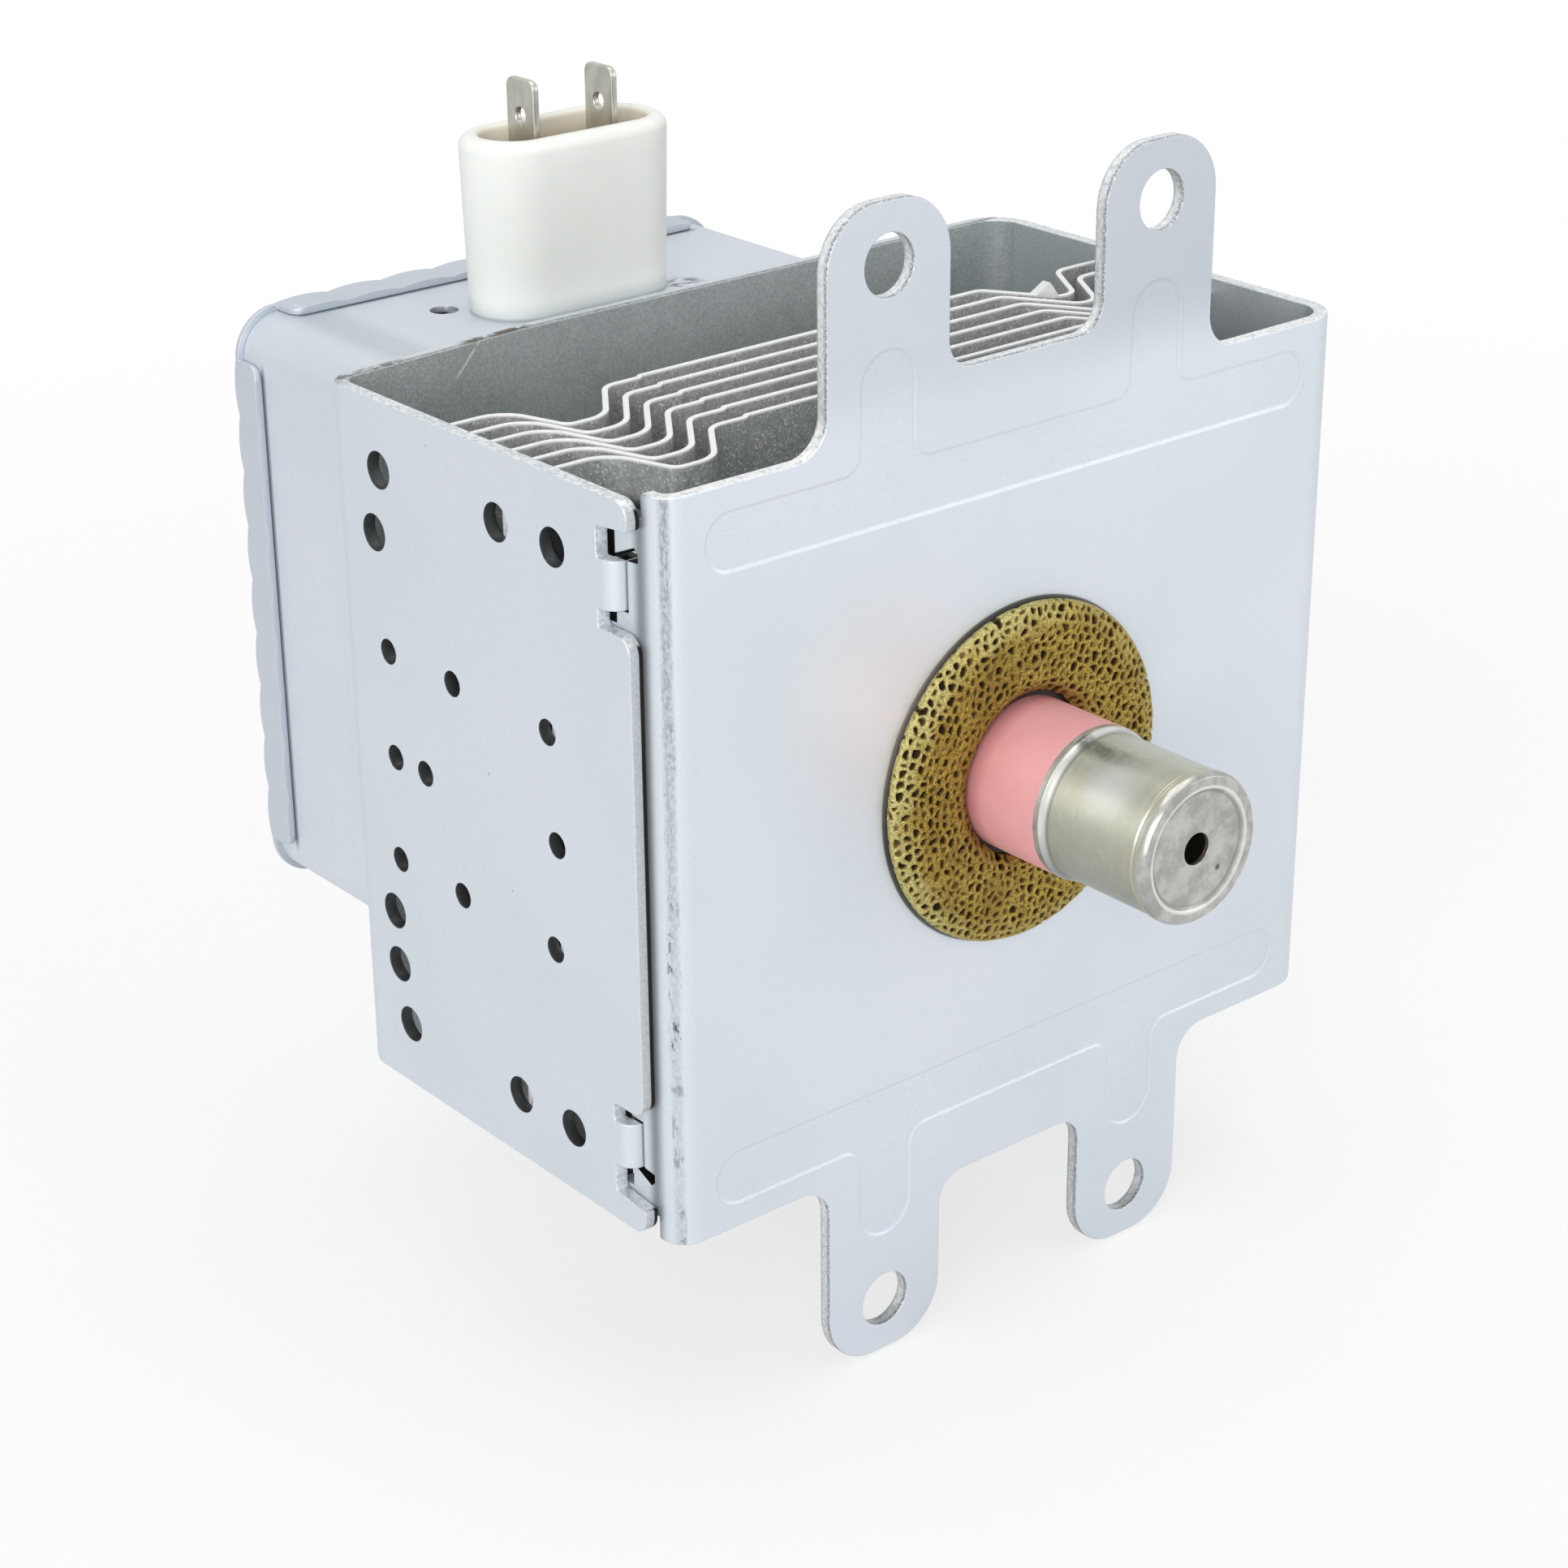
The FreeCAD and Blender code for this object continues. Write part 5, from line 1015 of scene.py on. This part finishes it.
def spin_profile(bm):
    """The ring without its openings."""
    corners = [bm.verts.new((r * MM, -y * MM, 0)) for r, y in gasket_profile()]
    rim = [bm.edges.new((a, b)) for a, b in zip(corners, corners[1:] + corners[:1])]
    bmesh.ops.spin(bm, geom=corners + rim, cent=(0, 0, 0), axis=(0, 1, 0), angle=2 * math.pi,
                   steps=AROUND, use_merge=True)
    bmesh.ops.recalc_face_normals(bm, faces=bm.faces)
    bm.normal_update()


print("ring profile:", len(gasket_profile()), "points")


# %% [markdown]
# ## The openings of the knit
# Rows of places are scattered a little, as a loose knit does. Each point of the ring belongs to the nearest
# place, and the nearer it is to the next one, the nearer it is to the wires between the two. Points well
# away from those wires lie in an opening and are pushed in along their own normals. Openings vary in depth.

# %% Knitted ring
ROW_PITCH = 0.98
STITCH_PITCH = 1.08
STITCH_SEED = 5
ANGLE_SCATTER = 0.33
ROW_SCATTER = 0.3
WEAKEST = 0.3
STRENGTH_SPREAD = 1.3
WANDER = 0.3
WANDERS_PER_METRE = 1100
WIRE_HALF = 0.12
OPENING_EDGE = 0.37
STITCH_DEPTH = 0.5
FULL_DEPTH_FROM = 0.5
SLACK = 0.12
SLACKS_PER_METRE = 450
BORE_PULL = 0.55
BORE_PULL_WIDTH = 2.5


def stitch_places(seed):
    """Middle and strength of every opening, in rows that are half a stitch apart."""
    chance = random.Random(seed)
    rows = round((GASKET_OUTER - NECK_R) / ROW_PITCH) + 1
    places = []
    for row in range(rows):
        radius = NECK_R + ROW_PITCH * (row + 0.5)
        count = round(2 * math.pi * radius / STITCH_PITCH)
        for i in range(count):
            scatter = chance.uniform(-ANGLE_SCATTER, ANGLE_SCATTER)
            angle = 2 * math.pi * (i + 0.5 * (row % 2) + scatter) / count
            r = radius + chance.uniform(-ROW_SCATTER, ROW_SCATTER)
            strength = min(1.0, WEAKEST + STRENGTH_SPREAD * chance.random())
            places.append((Vector((r * math.cos(angle), 0, r * math.sin(angle))) * MM, strength))
    return places


def clamp(value):
    return max(0.0, min(1.0, value))


def opening_depth(place, nearest, height):
    """How deep in an opening a point lies, from 0 on the wires to 1 at most."""
    from_wire = (nearest[1][2] - nearest[0][2]) / 2 / MM
    share = clamp((from_wire - WIRE_HALF) / (OPENING_EDGE - WIRE_HALF))
    return share * share * (3 - 2 * share) * place[1] * clamp(height / FULL_DEPTH_FROM)


def knitted_ring():
    """The spun ring with every point moved to its place in the knit."""
    # Without this seed the vector noise below would differ from run to run.
    noise.seed_set(STITCH_SEED)
    bm = bmesh.new()
    spin_profile(bm)
    places = stitch_places(STITCH_SEED)
    tree = KDTree(len(places))
    for number, place in enumerate(places):
        tree.insert(place[0], number)
    tree.balance()
    stitch = bm.verts.layers.float.new("stitch")
    moves = []
    for vert in bm.verts:
        height = -vert.co.y / MM
        out = Vector((vert.co.x, 0, vert.co.z))
        wave = noise.noise_vector(vert.co * WANDERS_PER_METRE) * WANDER * MM
        nearest = tree.find_n(out + wave, 2)
        deep = opening_depth(places[nearest[0][1]], nearest, height)
        slack = SLACK * (0.5 + 0.5 * noise.noise(vert.co * SLACKS_PER_METRE))
        vert[stitch] = deep
        move = vert.normal * -(deep * STITCH_DEPTH + slack * min(1.0, height)) * MM
        # The bore is pulled a little oval, so that a dark gap shows above and below the ceramic.
        pull = max(0.0, 1 - (out.length / MM - NECK_R) / BORE_PULL_WIDTH)
        oval = max(0.0, (vert.co.z ** 2 - vert.co.x ** 2) / out.length_squared)
        move += out.normalized() * (BORE_PULL * pull * oval * (height > NECK_HEIGHT + 0.1)) * MM
        moves.append(move)
    for vert, move in zip(bm.verts, moves):
        vert.co += move
    for face in bm.faces:
        face.smooth = True
    piece = make_piece(bm, "rf_gasket_knitted", [brass])
    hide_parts("rf_gasket")
    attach(piece, "root")
    print("rf_gasket_knitted:", len(piece.data.polygons), "faces,", len(places), "openings")


knitted_ring()


# %% [markdown]
# ## Floor
# The floor is pale and keeps a soft shadow. Far from the object it turns to plain white, so that it meets
# the white backdrop without a line. It lies a hair below the tips of the lower ears.

# %% Floor
EAR_TIP = -61.0
FLOOR_GAP = 0.2
FLOOR_Z = EAR_TIP * MM - FLOOR_GAP * MM
FLOOR_RADIUS = 4.0
NEAR_GLOW = 0.72
WHITE_FROM = 120.0
ALL_WHITE = 420.0


def pale_floor():
    """Matt to every ray but the camera's, which also sees a white glow that is full far away."""
    f = Finish("pale_floor")
    away = f.node("ShaderNodeVectorMath", {"operation": "LENGTH"}, {0: f.mm}, out="Value")
    matt = f.node("ShaderNodeBsdfDiffuse", {}, {"Color": (0.9, 0.9, 0.9)})
    glow = f.node("ShaderNodeEmission", {}, {"Color": (1, 1, 1), "Strength": 1.0})
    rays = f.node("ShaderNodeLightPath", out="Is Camera Ray")
    share = rays * (NEAR_GLOW + f.step(away, WHITE_FROM, ALL_WHITE) * (1 - NEAR_GLOW))
    surface = f.node("ShaderNodeMixShader", {}, {0: share, 1: matt, 2: glow})
    f.node("ShaderNodeOutputMaterial", {}, {"Surface": surface})
    return f.material


floor_bm = bmesh.new()
bmesh.ops.create_circle(floor_bm, cap_ends=True, segments=96, radius=FLOOR_RADIUS,
                        matrix=Matrix.Translation((0, 0, FLOOR_Z)))
floor = make_piece(floor_bm, "floor", [pale_floor()])
print("floor at", round(FLOOR_Z, 4))


# %% [markdown]
# ## Backdrop and light
# The camera sees a white room, metal mirrors a slightly greyer one, and the room lights things less still.
# A bank of soft lamps stands at the front left, with weaker ones at the right and above.

# %% Light
SKY_LIGHT = 0.528
MIRRORED_SHARE = 0.576

world = bpy.data.worlds.new("studio")
bpy.context.scene.world = world
world.use_nodes = True
world.node_tree.nodes.clear()
sky = world.node_tree.nodes.new("ShaderNodeBackground")
path = world.node_tree.nodes.new("ShaderNodeLightPath")
sky.inputs["Color"].default_value = (1, 1, 1, 1)
total = world.node_tree.nodes.new("ShaderNodeMath")
total.operation = "MULTIPLY_ADD"
total.inputs[1].default_value = MIRRORED_SHARE
level = world.node_tree.nodes.new("ShaderNodeMapRange")
level.inputs["To Min"].default_value = SKY_LIGHT
level.inputs["To Max"].default_value = 1.0
ends = world.node_tree.nodes.new("ShaderNodeOutputWorld")
link = world.node_tree.links.new
link(path.outputs["Is Glossy Ray"], total.inputs[0])
link(path.outputs["Is Camera Ray"], total.inputs[2])
link(total.outputs[0], level.inputs["Value"])
link(level.outputs[0], sky.inputs["Strength"])
link(sky.outputs[0], ends.inputs["Surface"])


def lamp(name, place, aim, side, watts):
    """A square soft lamp at a place in metres, turned to its aim."""
    light = bpy.data.lights.new(name, "AREA")
    light.shape = "SQUARE"
    light.size = side
    light.energy = watts
    holder = bpy.data.objects.new(name, light)
    way = (Vector(aim) - Vector(place)).normalized()
    holder.matrix_world = Matrix.Translation(place) @ way.to_track_quat("-Z", "Y").to_matrix().to_4x4()
    bpy.context.scene.collection.objects.link(holder)


middle = (0, 0.02, 0)
lamp("front_left_bank", (-0.8, -0.65, 0.42), middle, 0.7, 6.4)
lamp("right_fill", (0.8, -0.7, 0.25), middle, 0.7, 2.0)
lamp("top_bank", (0.05, 0.1, 0.95), middle, 0.8, 3.0)
bpy.context.scene.view_settings.view_transform = "Standard"
print("lamps: 3")
